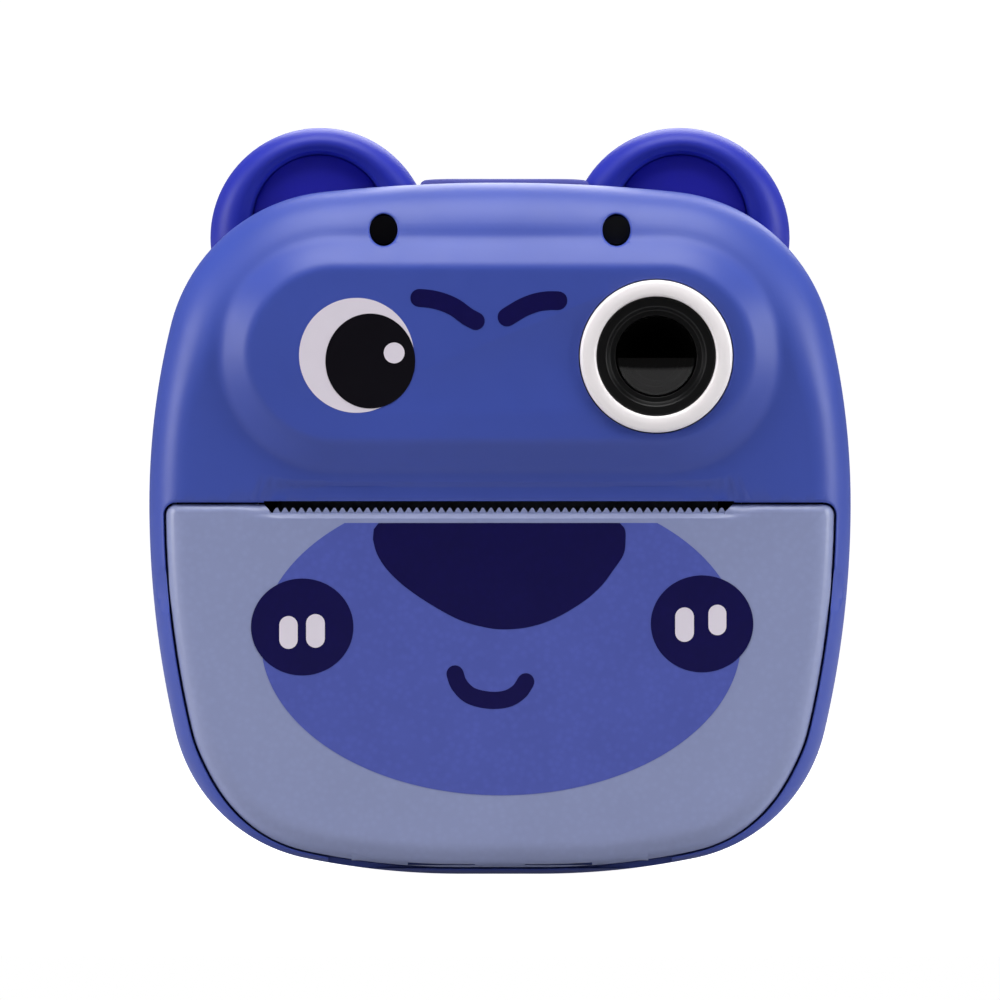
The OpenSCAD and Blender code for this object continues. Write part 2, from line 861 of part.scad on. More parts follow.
feed_start = middle_dir;
middle_start = middle_dir + 180 + 180 / middle_teeth;
function nearest_gap(dir, start, teeth) = let(p = 360 / teeth, t = (dir - start) / p) (t - floor(t)) * p;
motor_start = motor_dir + 180 + 180 / motor_teeth + nearest_gap(motor_dir, middle_start, middle_teeth)
  * middle_teeth / motor_teeth;

module feed_gear() {
  color("white")
    gear_at(feed_teeth, feed_start, feed_y, feed_z, shaft_radius);
}

module middle_gear() {
  color("white")
    gear_at(middle_teeth, middle_start, middle_y, middle_z, 1.2 + fit_gap);
}

module motor_gear() {
  color("goldenrod")
    gear_at(motor_teeth, motor_start, motor_y, motor_z, 0.75);
}

module motor_shaft() {
  color(metal)
    rod_x(0.75, -gear_far - 0.4, -32.4, motor_y, motor_z);
}

// ---- Feed roller, carried by the door ----
module feed_roller() {
  color("black")
    difference() {
      rod_x(feed_radius, -28.4, 28.4, feed_y, feed_z);
      rod_x(shaft_radius, -30, 30, feed_y, feed_z);
    }
}

module feed_shaft() {
  color(metal)
    rod_x(shaft_radius, -gear_far - 0.4, 33.2, feed_y, feed_z);
}

module bushings() {
  color("ivory")
    for (s = [-1, 1])
      difference() {
        rod_x(bush_radius, s * 30.75 - 1.95, s * 30.75 + 1.95, feed_y, feed_z);
        rod_x(shaft_radius + fit_gap, s * 30.75 - 3, s * 30.75 + 3, feed_y, feed_z);
      }
}

// ---- Paper ----
module paper_roll() {
  color("white")
    difference() {
      rod_x(roll_radius, -roll_width / 2, roll_width / 2, roll_y, roll_z, $fn = 96);
      rod_x(core_radius, -30, 30, roll_y, roll_z);
    }
}

module roll_core() {
  color("tan")
    difference() {
      rod_x(core_radius, -roll_width / 2, roll_width / 2, roll_y, roll_z);
      rod_x(core_bore, -30, 30, roll_y, roll_z);
    }
}

// ---- Print head ----
head_dir = 90 - head_slope;
touch_y = feed_y + (feed_radius + paper_gap) * cos(head_dir);
touch_z = feed_z + (feed_radius + paper_gap) * sin(head_dir);
pivot_in = 6.6;
pivot_up = 2.3;
pivot_y = touch_y + pivot_in * cos(head_slope) + pivot_up * sin(head_slope);
pivot_z = touch_z - pivot_in * sin(head_slope) + pivot_up * cos(head_slope);
module on_head() {
  translate([0, touch_y, touch_z])
    rotate([-head_slope, 0, 0])
      children();
}

module head_plate() {
  color("ivory")
    on_head()
      box([-28, 28], [-1.5, 4.6], [0, 0.7]);
}

module heat_sink() {
  color(metal)
    on_head() {
      difference() {
        union() {
          box([-28, 28], [-1.5, 5], [0.7, 2.4]);
          rod_x(1.3, -28, 28, pivot_in, pivot_up);
          box([-28, 28], [4.5, pivot_in], [1, 3.4]);
        }
        rod_x(0.82, -40, 40, pivot_in, pivot_up);
      }
      for (s = [-1, 1])
        rod_z(0.9, 2.3, 3.6, s * 16, 2);
    }
}

module head_pivot() {
  color(metal)
    on_head()
      rod_x(0.79, -cheek_in + 0.2, cheek_in - 0.2, pivot_in, pivot_up);
}

module coil(turns, r, wire, height) {
  n = 14;
  sides = 6;
  total = turns * n;
  rings = [for (i = [0 : total]) let(a = 360 * i / n, z = wire + (height - 2 * wire) * i / total)
    for (k = [0 : sides - 1]) let(b = 360 * k / sides)
      [(r + wire * cos(b)) * cos(a), (r + wire * cos(b)) * sin(a), z + wire * sin(b)]];
  faces = concat(
    [for (i = [0 : total - 1]) for (k = [0 : sides - 1]) let(j = (k + 1) % sides) each
      [[i * sides + k, i * sides + j, (i + 1) * sides + j], [i * sides + k, (i + 1) * sides + j, (i + 1) * sides + k]]],
    [[for (k = [sides - 1 : -1 : 0]) k]], [[for (k = [0 : sides - 1]) total * sides + k]]);
  polyhedron(rings, [for (f = faces) [for (i = [len(f) - 1 : -1 : 0]) f[i]]]);
}

module head_springs() {
  spring_y = touch_y + 2 * cos(head_slope) + 2.5 * sin(head_slope);
  spring_low = touch_z - 2 * sin(head_slope) + 2.5 * cos(head_slope) + 0.1;
  color(metal)
    for (s = [-1, 1])
      translate([s * 16, spring_y, spring_low])
        coil(3, 1.7, 0.2, 52.95 - spring_low);
}

module head_cable() {
  color("peru")
    translate([-9, 0, 0])
      rotate([90, 0, 90])
        linear_extrude(18)
          polygon([[-3.2, 43.3], [-3.2, 43.1], [0, 41.5], [10, 40.6], [board_y, 40.2], [board_y, 40.4],
            [10, 40.8], [0, 41.7]]);
}

// ---- Door ----
module door_panel() {
  color(pale_blue)
    difference() {
      intersection() {
        cup(-1);
        slab(yf - 1, -17.2)
          door_shape(0);
      }
      for (s = [-1, 1])
        rod_x(knuckle_relief, s * 7.5 - 4.5, s * 7.5 + 4.5, hinge_y, hinge_z);
      box([-slot_half - 1, slot_half + 1], [yf - 1, -16], [door_lip, door_top + 1]);
      slab(yf - 1, yf + recess_depth)
        translate([0, recess_z])
          capsule(slot_half - 0.4, recess_radius);
      for (s = [-1, 1])
        box([s * 7.5 - 4.5, s * 7.5 + 4.5], [-18.2, -16], [1.2, 5.6]);
      frame_blocks();
    }
}

module frame_blocks() {
  difference() {
    box([-30, 30], [-18, -17], [6, 44.6]);
    box([-23, 23], [-19, -16], [9.5, 33.5]);
  }
  for (x = [[-19, -12], [-3, 3], [12, 19]]) {
    rod_x(knuckle_radius, x[0], x[1], hinge_y, hinge_z);
    box(x, [-18.4, -17], [hinge_z, 7]);
  }
  for (s = [-1, 1]) {
    box([s * 29.75 - 0.75, s * 29.75 + 0.75], [-17.5, feed_y], [37.4, 44.4]);
    rod_x(3.5, s * 29.75 - 0.75, s * 29.75 + 0.75, feed_y, feed_z);
    box([s * 34.5 - 5.5, s * 34.5 + 5.5], [-18, -17], [hook_z, hook_z + 3]);
    box([s * 39 - 1, s * 39 + 1], [-18, -14.2], [hook_z, hook_z + 3]);
    box([s * 39 - 1, s * 39 + 1], [-15.1, -14.2], [hook_z, hook_z + 3.5]);
  }
}

module door_frame() {
  color("slategray")
    difference() {
      frame_blocks();
      rod_x(hinge_pin_radius + fit_gap, -22, 22, hinge_y, hinge_z);
      rod_x(bush_radius + 0.01, -32, 32, feed_y, feed_z);
    }
}

// ---- Buttons and flap ----
module shutter_button() {
  color(case_blue)
    translate([button_x, button_y, 0]) {
      translate([0, 0, 85.4])
        linear_extrude(button_top - 85.4 - 0.5)
          capsule(button_half, button_radius);
      translate([0, 0, button_top - 0.51])
        linear_extrude(0.51, scale = 0.93)
          capsule(button_half, button_radius);
      translate([0, 0, 84.9])
        linear_extrude(1.3)
          capsule(button_half + 0.7, button_radius + 0.5);
      rod_z(1.4, 84.35, 85, 0, 0);
    }
}

key_spots = [[0, keys_z], [0, keys_z + keys_pitch], [0, keys_z - keys_pitch], [-keys_pitch, keys_z],
  [keys_pitch, keys_z], [key_side_x, mode_z], [-key_side_x, mode_z], [-key_side_x, play_z]];
key_radius = [4.2, 3, 3, 3, 3, 3.6, 3, 3];
module key_places(more, y0, y1) {
  for (i = [0 : len(key_spots) - 1])
    rod_y(key_radius[i] + more, y0, y1, key_spots[i][0], key_spots[i][1]);
}

module key(i) {
  r = key_radius[i];
  x = key_spots[i][0];
  z = key_spots[i][1];
  color("white")
    union() {
      rod_y(r, 19.6, yr + key_proud - 0.4, x, z);
      translate([x, yr + key_proud - 0.4 - tiny, z])
        rotate([-90, 0, 0])
          cylinder(r1 = r, r2 = r - 0.4, h = 0.4 + tiny);
      rod_y(r + 0.5, 19.5, 20.4, x, z);
      rod_y(1.2, 18.65 + key_travel, 19.6, x, z);
    }
}

module ok_key() {
  key(0);
}

module up_key() {
  key(1);
}

module down_key() {
  key(2);
}

module left_key() {
  key(3);
}

module right_key() {
  key(4);
}

module power_key() {
  key(5);
}

module mode_key() {
  key(6);
}

module play_key() {
  key(7);
}

module usb_flap() {
  color(dark)
    difference() {
      union() {
        box([44.05, 44.85], [8, 17.1], [socket_z - 6.9, socket_z + 6.9]);
        rod_z(0.4, socket_z - 6.9, socket_z + 6.9, 44.45, 8);
      }
      rod_z(0.7, socket_z - 1.5, socket_z + 1.5, 45.2, 17.1);
    }
}

front_shell();
back_shell();
left_ear();
right_ear();
case_screws();
chassis();
chassis_screws();
hinge_pin();
tear_edge();
lens_ring();
lens_barrel();
lens_glass();
camera_board();
image_sensor();
camera_cable();
status_light();
microphone();
main_board();
board_screws();
bracket();
battery();
battery_leads();
display();
display_cable();
display_window();
speaker();
usb_socket();
card_socket();
memory_card();
strap_bar();
motor();
switches();
shutter_switch();
middle_post();
feed_gear();
middle_gear();
motor_gear();
motor_shaft();
feed_roller();
feed_shaft();
bushings();
paper_roll();
roll_core();
head_plate();
heat_sink();
head_pivot();
head_springs();
head_cable();
door_panel();
door_frame();
shutter_button();
ok_key();
up_key();
down_key();
left_key();
right_key();
power_key();
mode_key();
play_key();
usb_flap();
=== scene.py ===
"""Looks of a kids instant-print camera with a bear face, built around its CAD frame."""
import json
import math

import bmesh
import bpy
from mathutils import Matrix, Vector

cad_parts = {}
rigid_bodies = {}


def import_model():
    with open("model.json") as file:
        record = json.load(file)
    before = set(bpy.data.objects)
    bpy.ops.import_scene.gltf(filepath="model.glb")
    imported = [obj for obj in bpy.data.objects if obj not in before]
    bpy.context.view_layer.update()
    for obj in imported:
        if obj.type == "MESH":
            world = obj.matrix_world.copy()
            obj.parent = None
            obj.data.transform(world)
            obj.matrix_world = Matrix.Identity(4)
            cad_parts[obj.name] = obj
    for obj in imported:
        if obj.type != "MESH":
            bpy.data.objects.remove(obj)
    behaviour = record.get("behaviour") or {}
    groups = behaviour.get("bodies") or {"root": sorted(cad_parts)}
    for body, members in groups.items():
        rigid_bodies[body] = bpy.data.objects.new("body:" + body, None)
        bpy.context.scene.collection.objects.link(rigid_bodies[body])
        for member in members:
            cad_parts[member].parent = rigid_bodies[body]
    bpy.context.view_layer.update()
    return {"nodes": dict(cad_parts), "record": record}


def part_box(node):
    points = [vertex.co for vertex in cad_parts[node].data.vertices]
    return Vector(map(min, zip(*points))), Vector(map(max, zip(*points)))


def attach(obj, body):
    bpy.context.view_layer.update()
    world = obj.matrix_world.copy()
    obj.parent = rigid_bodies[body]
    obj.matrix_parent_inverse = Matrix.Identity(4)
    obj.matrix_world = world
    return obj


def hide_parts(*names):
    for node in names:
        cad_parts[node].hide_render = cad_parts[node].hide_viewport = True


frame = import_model()

bl_info = {
    "name": "Bear Print Camera",
    "version": (1, 0, 0),
    "blender": (4, 5, 0),
    "location": "View3D > Sidebar > Camera",
    "description": "Builds a kids instant-print camera with a bear face around its CAD frame",
    "category": "Add Mesh",
}

MM = 0.001
TAU = 2 * math.pi
OBJECTS = bpy.data.objects
MATERIALS = bpy.data.materials


# ---- Sizes read from the frame ----
def centre(node):
    low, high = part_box(node)
    return (low + high) / 2


def span(node):
    low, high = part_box(node)
    return high - low


SHELL_LOW, SHELL_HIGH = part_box("front_shell")
REAR_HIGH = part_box("back_shell")[1]
HALF_WIDTH = SHELL_HIGH.x / MM
TOP = SHELL_HIGH.z / MM
FRONT = -20.0
PLATFORM = SHELL_LOW.y / MM
REAR = REAR_HIGH.y / MM
SPLIT = 3.0
WALL = 2.0
WIDEST = 47.5


# ---- Outline of the body: arcs that run into each other ----
def touching(c0, r0, c1, r1, r, up):
    """Centre of the arc of radius r that runs into both given arcs."""
    d = (c1 - c0).length
    a = ((r0 - r) ** 2 - (r1 - r) ** 2 + d * d) / (2 * d)
    h = math.sqrt((r0 - r) ** 2 - a * a)
    u = (c1 - c0) / d
    n = Vector((-u.y, u.x))
    p, q = c0 + u * a + n * h, c0 + u * a - n * h
    return p if up * p.y > up * q.y else q


def body_arcs():
    """The right half of the outline from the top to the bottom: centre, radius, first and last angle."""
    top = Vector((0, TOP - 215))
    side_up = Vector((HALF_WIDTH - 97, WIDEST))
    side_low = Vector((HALF_WIDTH - 129, WIDEST))
    bottom = Vector((5, 100))
    corner_up = touching(top, 215, side_up, 97, 22.5, 1)
    corner_low = touching(side_low, 129, bottom, 100, 21.5, -1)

    def heading(v):
        return math.atan2(v.y, v.x)

    return [
        (top, 215, math.pi / 2, heading(corner_up - top)),
        (corner_up, 22.5, heading(corner_up - top), heading(corner_up - side_up)),
        (side_up, 97, heading(corner_up - side_up), 0),
        (side_low, 129, 0, heading(corner_low - side_low)),
        (corner_low, 21.5, heading(corner_low - side_low), heading(corner_low - bottom)),
        (bottom, 100, heading(corner_low - bottom), -math.pi / 2),
    ]


ARCS = body_arcs()
LENGTHS = [r * abs(b - a) for _, r, a, b in ARCS] + [5.0]
HALF_LENGTH = sum(LENGTHS)


def outline(u):
    """Point and outward direction on the outline, u from 0 at the top round clockwise to 1."""
    u = u % 1.0
    mirrored = u > 0.5
    s = (1 - u if mirrored else u) * 2 * HALF_LENGTH
    for (c, r, a, b), length in zip(ARCS, LENGTHS, strict=False):
        if s <= length:
            t = a + (b - a) * s / length
            p, n = c + r * Vector((math.cos(t), math.sin(t))), Vector((math.cos(t), math.sin(t)))
            break
        s -= length
    else:
        p, n = Vector((5 - min(s, 5), 0)), Vector((0, -1))
    return (Vector((-p.x, p.y)), Vector((-n.x, n.y))) if mirrored else (p, n)


def ramp(v, a, b):
    t = max(0.0, min(1.0, (v - a) / (b - a)))
    return t * t * (3 - 2 * t)


def bank(v, a, b, soft=0.28):
    """Rises from 0 to 1 between a and b at an even slope with short soft ends."""
    t = max(0.0, min(1.0, (v - a) / (b - a)))
    steep = 1 / (1 - soft)
    if t < soft:
        return steep * t * t / (2 * soft)
    if t > 1 - soft:
        return 1 - steep * (1 - t) ** 2 / (2 * soft)
    return steep * (t - soft / 2)


def front_reach(z):
    return 4 + ramp(z, 0, 12) + 5 * ramp(z, 58, 86)


def front_round(z):
    return 6 + ramp(z, 0, 20) + 2 * ramp(z, 58, 86)


def rear_reach(z):
    return 4 + 2 * ramp(z, 58, 86)


FINE = [outline(i / 2400) for i in range(2400)]
FINE_TREE = None


def nearest(x, z):
    """Distance in from the outline, and the height of the outline's nearest point."""
    global FINE_TREE
    if FINE_TREE is None:
        from mathutils.kdtree import KDTree

        FINE_TREE = KDTree(len(FINE))
        for i, (p, _) in enumerate(FINE):
            FINE_TREE.insert((p.x, p.y, 0), i)
        FINE_TREE.balance()
    _, i, _ = FINE_TREE.find((x, z, 0))
    p, n = FINE[i]
    return (p - Vector((x, z))).dot(n), p.y


PLATFORM_Z = 66.55
PLATFORM_HALF = 21.0
PLATFORM_FLAT = 10.6
PLATFORM_FOOT = 15.5
RECESS_Z = 47.95
RECESS_HALF = 29.5


def pillow_y(x, z):
    """Front skin without the platform."""
    inset, height = nearest(x, z)
    reach, deep = front_reach(height), front_round(height)
    if inset >= reach:
        return FRONT
    c = 1 - max(inset, 0) / reach
    return FRONT + deep * (1 - math.sqrt(max(0.0, 1 - c * c)))


def platform_distance(x, z):
    dx = max(0.0, abs(x) - PLATFORM_HALF)
    return math.hypot(dx, z - PLATFORM_Z)


def recess_depth(x, z):
    """The shallow hollow round the paper slot."""
    d = math.hypot(max(0.0, abs(x) - RECESS_HALF), z - RECESS_Z)
    return 0.45 * (1 - ramp(d, 1.75, 2.45))


def front_y(x, z):
    """Front skin in millimetres at x and z."""
    y = pillow_y(x, z)
    lift = 1 - bank(platform_distance(x, z), PLATFORM_FLAT, PLATFORM_FOOT)
    y += (PLATFORM - y) * lift
    return y + recess_depth(x, z)


# ---- Making and finishing meshes ----
def loft(rings, close_start=True, close_end=True):
    """A skin drawn through rings of equal count, made by extruding a circle from ring to ring."""
    bm = bmesh.new()
    count = len(rings[0])
    made = bmesh.ops.create_circle(bm, segments=count, radius=1.0, cap_ends=False)
    verts = made["verts"]
    bm.verts.ensure_lookup_table()
    for v, p in zip(verts, rings[0], strict=True):
        v.co = p
    edges = list(bm.edges)
    if close_start:
        bmesh.ops.edgeloop_fill(bm, edges=edges)
    loop = verts
    for ring in rings[1:]:
        made = bmesh.ops.extrude_edge_only(bm, edges=edges)
        new = {g for g in made["geom"] if isinstance(g, bmesh.types.BMVert)}
        edges = [
            g for g in made["geom"]
            if isinstance(g, bmesh.types.BMEdge) and g.verts[0] in new and g.verts[1] in new
        ]
        following = []
        for v in loop:
            following.append(next(e.other_vert(v) for e in v.link_edges if e.other_vert(v) in new))
        loop = following
        for v, p in zip(loop, ring, strict=True):
            v.co = p
    if close_end:
        bmesh.ops.edgeloop_fill(bm, edges=edges)
    bmesh.ops.recalc_face_normals(bm, faces=bm.faces)
    return bm


def lathe(profile, steps=96, at=(0, 0, 0), closed=True):
    """A turned piece: its profile of radius and depth in millimetres goes round a line along Y."""
    bm = bmesh.new()
    pts = [Vector((r, 0, h)) * MM for r, h in profile]
    verts = [bm.verts.new(p) for p in pts]
    pairs = list(zip(verts, verts[1:], strict=False)) + ([(verts[-1], verts[0])] if closed else [])
    edges = [bm.edges.new(p) for p in pairs]
    bmesh.ops.spin(
        bm, geom=verts + edges, cent=(0, 0, 0), axis=(0, 0, 1), angle=TAU, steps=steps, use_merge=True,
        use_duplicate=False
    )
    bmesh.ops.remove_doubles(bm, verts=bm.verts, dist=1e-7)
    bmesh.ops.recalc_face_normals(bm, faces=bm.faces)
    turn = Matrix.Rotation(-math.pi / 2, 4, "X")
    bmesh.ops.transform(bm, matrix=Matrix.Translation(Vector(at) * MM) @ turn, verts=bm.verts)
    return bm


def piece(name, bm, material, body, replaces=(), smooth=40, merge=True):
    """Turns a bmesh into a finished object that rides on a body."""
    if merge:
        bmesh.ops.remove_doubles(bm, verts=bm.verts, dist=1e-8)
    mesh = bpy.data.meshes.new(name)
    bm.to_mesh(mesh)
    bm.free()
    mesh.polygons.foreach_set("use_smooth", [True] * len(mesh.polygons))
    mesh.set_sharp_from_angle(angle=math.radians(smooth))
    obj = OBJECTS.new(name, mesh)
    bpy.context.scene.collection.objects.link(obj)
    mesh.materials.append(MATERIALS[material])
    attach(obj, body)
    if replaces:
        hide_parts(*replaces)
    return obj


def cut(bm, cutters, how="DIFFERENCE"):
    """The bmesh with each cutter's volume taken away, or only what lies inside them."""
    mesh = bpy.data.meshes.new("work")
    bm.to_mesh(mesh)
    bm.free()
    work = OBJECTS.new("work", mesh)
    bpy.context.scene.collection.objects.link(work)
    tools = []
    for i, tool in enumerate(cutters):
        tool_mesh = bpy.data.meshes.new("tool")
        tool.to_mesh(tool_mesh)
        tool.free()
        obj = OBJECTS.new("tool", tool_mesh)
        bpy.context.scene.collection.objects.link(obj)
        mod = work.modifiers.new(f"cut{i}", "BOOLEAN")
        mod.operation, mod.solver, mod.object = how, "EXACT", obj
        tools.append(obj)
    bpy.context.view_layer.update()
    graph = bpy.context.evaluated_depsgraph_get()
    done = bpy.data.meshes.new_from_object(work.evaluated_get(graph))
    out = bmesh.new()
    out.from_mesh(done)
    for o in [work, *tools]:
        data = o.data
        OBJECTS.remove(o)
        bpy.data.meshes.remove(data)
    bpy.data.meshes.remove(done)
    return out


def slab(points, y0, y1):
    """A prism along Y through a closed list of x, z points."""
    return loft([[Vector((x, y0, z)) * MM for x, z in points], [Vector((x, y1, z)) * MM for x, z in points]])


def oval_points(cx, cz, rx, rz, count=96, turn=0.0):
    c, s = math.cos(turn), math.sin(turn)
    pts = []
    for i in range(count):
        t = TAU * i / count
        x, z = rx * math.cos(t), rz * math.sin(t)
        pts.append((cx + x * c - z * s, cz + x * s + z * c))
    return pts


def rounded_points(cx, cz, w, h, r, per=8):
    pts = []
    for k, (sx, sz) in enumerate([(1, 1), (-1, 1), (-1, -1), (1, -1)]):
        for i in range(per + 1):
            t = math.pi / 2 * (k + i / per)
            pts.append((cx + sx * (w / 2 - r) + r * math.cos(t), cz + sz * (h / 2 - r) + r * math.sin(t)))
    return pts


def upright_pill(cx, cz, w, h, per=24):
    """A tall shape with half-round ends."""
    pts = []
    for s in (1, -1):
        for i in range(per + 1):
            t = math.pi * i / per
            pts.append((cx + s * w / 2 * math.cos(t), cz + s * ((h - w) / 2 + w / 2 * math.sin(t))))
    return pts


def smooth_line(points, per=8, closed=False):
    """A smooth line through a few x, z points."""
    pts = [Vector(p) for p in points]
    n = len(pts)
    out = []
    for i in range(n if closed else n - 1):
        a, b = pts[i], pts[(i + 1) % n]
        before = pts[i - 1] if closed or i else a
        after = pts[(i + 2) % n] if closed or i + 2 < n else b
        for k in range(per):
            t = k / per
            bend = 2 * before - 5 * a + 4 * b - after
            twist = 3 * a - before - 3 * b + after
            out.append(0.5 * (2 * a + (b - before) * t + bend * t * t + twist * t ** 3))
    return out if closed else [*out, pts[-1]]


def stroke_points(points, width, ends=10):
    """The outline of a brush stroke with round ends along a few x, z points."""
    line = smooth_line(points)
    r = width / 2
    left, right = [], []
    for i, p in enumerate(line):
        d = (line[min(i + 1, len(line) - 1)] - line[max(i - 1, 0)]).normalized()
        n = Vector((-d.y, d.x)) * r
        left.append(p + n)
        right.append(p - n)

    def cap(p, start):
        return [
            p + Vector((math.cos(start - math.pi * k / ends), math.sin(start - math.pi * k / ends))) * r
            for k in range(1, ends)
        ]

    last, first = (line[-1] - line[-2]), (line[1] - line[0])
    end_turn = math.atan2(last.y, last.x) + math.pi / 2
    start_turn = math.atan2(first.y, first.x) - math.pi / 2
    return [tuple(p) for p in [*left, *cap(line[-1], end_turn), *reversed(right), *cap(line[0], start_turn)]]


# ---- Door outline ----
DOOR_TOP = 47.4
DOOR_CORNER = 1.35
DOOR_GAP = 0.22
DOOR_BACK = -17.2
SIDE_STEPS = 150


def door_inset(z):
    return 0.95 + 1.25 * ramp(z, 0, 14)


def door_points(grow=0.0):
    """The door's outline made larger by grow, clockwise from the middle of its top: x, z."""
    top = DOOR_TOP + grow
    r = max(0.35, DOOR_CORNER + grow)

    def side(u):
        p, n = outline(u)
        return p - n * (door_inset(p.y) - grow)

    low, high = 0.2, 0.5
    for _ in range(40):
        mid = (low + high) / 2
        if side(mid).y > top - r:
            low = mid
        else:
            high = mid
    edge = side(low)
    right = [(k * (edge.x - r) / 28, top) for k in range(28)]
    right += [
        (edge.x - r + r * math.sin(k * math.pi / 20), top - r + r * math.cos(k * math.pi / 20))
        for k in range(10)
    ]
    around = [side(low + (1 - 2 * low) * k / SIDE_STEPS) for k in range(SIDE_STEPS + 1)]
    left = [(-x, z) for x, z in right[:0:-1]]
    return right + [(p.x, p.y) for p in around] + left


def on_skin(points, sink=0.0):
    """Places on the front skin for x, z points, sunk by sink millimetres."""
    return [Vector((x, front_y(x, z) + sink, z)) * MM for x, z in points]


def at_depth(points, y):
    return [Vector((x, y, z)) * MM for x, z in points]


def inset_outline(inset, y, count):
    """One ring of the body's outline drawn in by inset at depth y."""
    ring = []
    for i in range(count):
        p, n = outline(i / count)
        q = p - n * (inset(p.y) if callable(inset) else inset)
        ring.append(Vector((q.x, y(p.y) if callable(y) else y, q.y)) * MM)
    return ring


def ball(x, y, z, r, steps=48):
    bm = bmesh.new()
    bmesh.ops.create_uvsphere(bm, u_segments=steps, v_segments=steps // 2, radius=r * MM)
    bmesh.ops.translate(bm, verts=bm.verts, vec=Vector((x, y, z)) * MM)
    return bm


def block(x, y, z, round_by=0.0, steps=3):
    """A box between three pairs of limits, its edges rounded."""
    bm = bmesh.new()
    bmesh.ops.create_cube(bm, size=1.0)
    bmesh.ops.scale(bm, verts=bm.verts, vec=Vector((x[1] - x[0], y[1] - y[0], z[1] - z[0])) * MM)
    bmesh.ops.translate(bm, verts=bm.verts, vec=Vector((x[0] + x[1], y[0] + y[1], z[0] + z[1])) * MM / 2)
    if round_by:
        bmesh.ops.bevel(
            bm, geom=bm.edges, offset=round_by * MM, segments=steps, profile=0.5, affect="EDGES", material=-1,
            clamp_overlap=True
        )
    return bm


def rod_along_x(r, x0, x1, y, z, steps=40):
    bm = bmesh.new()
    bmesh.ops.create_cone(
        bm, cap_ends=True, segments=steps, radius1=r * MM, radius2=r * MM, depth=(x1 - x0) * MM
    )
    turn = Matrix.Translation(Vector(((x0 + x1) / 2, y, z)) * MM) @ Matrix.Rotation(math.pi / 2, 4, "Y")
    bmesh.ops.transform(bm, matrix=turn, verts=bm.verts)
    return bm


def level_ring(cx, cy, half, r, z, count=96):
    """One ring of an upright oblong at height z."""
    ring = []
    for i in range(count):
        t = TAU * i / count
        ring.append(Vector((
            cx + (half if math.cos(t) >= 0 else -half) + r * math.cos(t), cy + r * math.sin(t), z
        )) * MM)
    return ring


# ---- Case ----
AROUND = 288
PLATFORM_RINGS = (
    8, 10.3, 10.6, 10.85, 11.1, 11.35, 11.6, 11.85, 12.1, 12.6, 13.3, 13.9, 14.2, 14.5, 14.8, 15.1, 15.4, 16.0
)
MORPH = (0.006, 0.012, 0.018, 0.024, 0.032, 0.045, 0.065, 0.1, 0.2, 0.35, 0.55, 0.8, 1.0)
SLOT_HIGH = 47.8
LENS_X, LENS_Z = centre("lens_ring").x / MM, centre("lens_ring").z / MM
LENS_BORE = 9.9
HOLE_X, HOLE_Z = 14.9, 82.5
FINGER = (52.3, -24.8, 35.4, 12.0)
HINGE_Y, HINGE_Z = -17.5, 3.4
BUTTON = (0.6, -4.6, 6.9, 4.0)
SEAM = 0.02


def front_rings():
    """Rings of the front shell from the middle of the platform out, back and in along its inside."""
    rim = [outline(i / AROUND) for i in range(AROUND)]
    spine = [Vector((max(-PLATFORM_HALF, min(PLATFORM_HALF, p.x)), PLATFORM_Z)) for p, _ in rim]
    rays = [(p - q).normalized() for (p, _), q in zip(rim, spine, strict=True)]
    rings = [on_skin([tuple(q + d * r) for q, d in zip(spine, rays, strict=True)]) for r in PLATFORM_RINGS]
    foot = PLATFORM_RINGS[-1]
    last = [q + d * foot for q, d in zip(spine, rays, strict=True)]
    begin = [p - n * min(front_reach(p.y) + 0.2, 0.85 * (platform_distance(*p) - foot)) for p, n in rim]
    for k, t in enumerate(MORPH):
        ring = []
        for a, b in zip(last, begin, strict=True):
            spread = 1 - ramp((b - a).length, 5, 22)
            ring.append(tuple(a.lerp(b, t + ((k + 1) / len(MORPH) - t) * spread)))
        rings.append(on_skin(ring))
    for k in range(1, 13):
        keep = 1 - math.sin(k * math.pi / 24)
        rings.append(on_skin([tuple(p + (b - p) * keep) for b, (p, _) in zip(begin, rim, strict=True)]))
    edge = [v.y / MM for v in rings[-1]]
    for t in (0.3, 0.65):
        rings.append([
            Vector((p.x, y + (SPLIT - y) * t, p.y)) * MM for y, (p, _) in zip(edge, rim, strict=True)
        ])
    rings.append(inset_outline(0, SPLIT - 0.3, AROUND))
    rings.append(inset_outline(0.07, SPLIT - 0.1, AROUND))
    rings.append(inset_outline(0.28, SPLIT - SEAM, AROUND))
    rings.append(inset_outline(WALL, SPLIT - SEAM, AROUND))
    for k in range(8):
        a = math.pi / 2 * k / 7
        rings.append(
            inset_outline(
                lambda z, a=a: WALL + (front_reach(z) - 1.2) * (1 - math.cos(a)),
                lambda z, a=a: FRONT + WALL + (front_round(z) - 1.2) * (1 - math.sin(a)),
                AROUND,
            )
        )
    return rings


def door_hole():
    """Cutter for the door's opening, with a small rounded lip that follows the skin."""
    edge = door_points(DOOR_GAP)
    rings = [at_depth(door_points(DOOR_GAP + 0.8), FRONT - 2)]
    for grow, sink in [(0.8, -0.5), (0.3, 0.0), (0.16, 0.05), (0.05, 0.16), (0.0, 0.34)]:
        rings.append(on_skin(door_points(DOOR_GAP + grow), sink))
    rings.append(at_depth(edge, -14.4))
    return loft(rings)


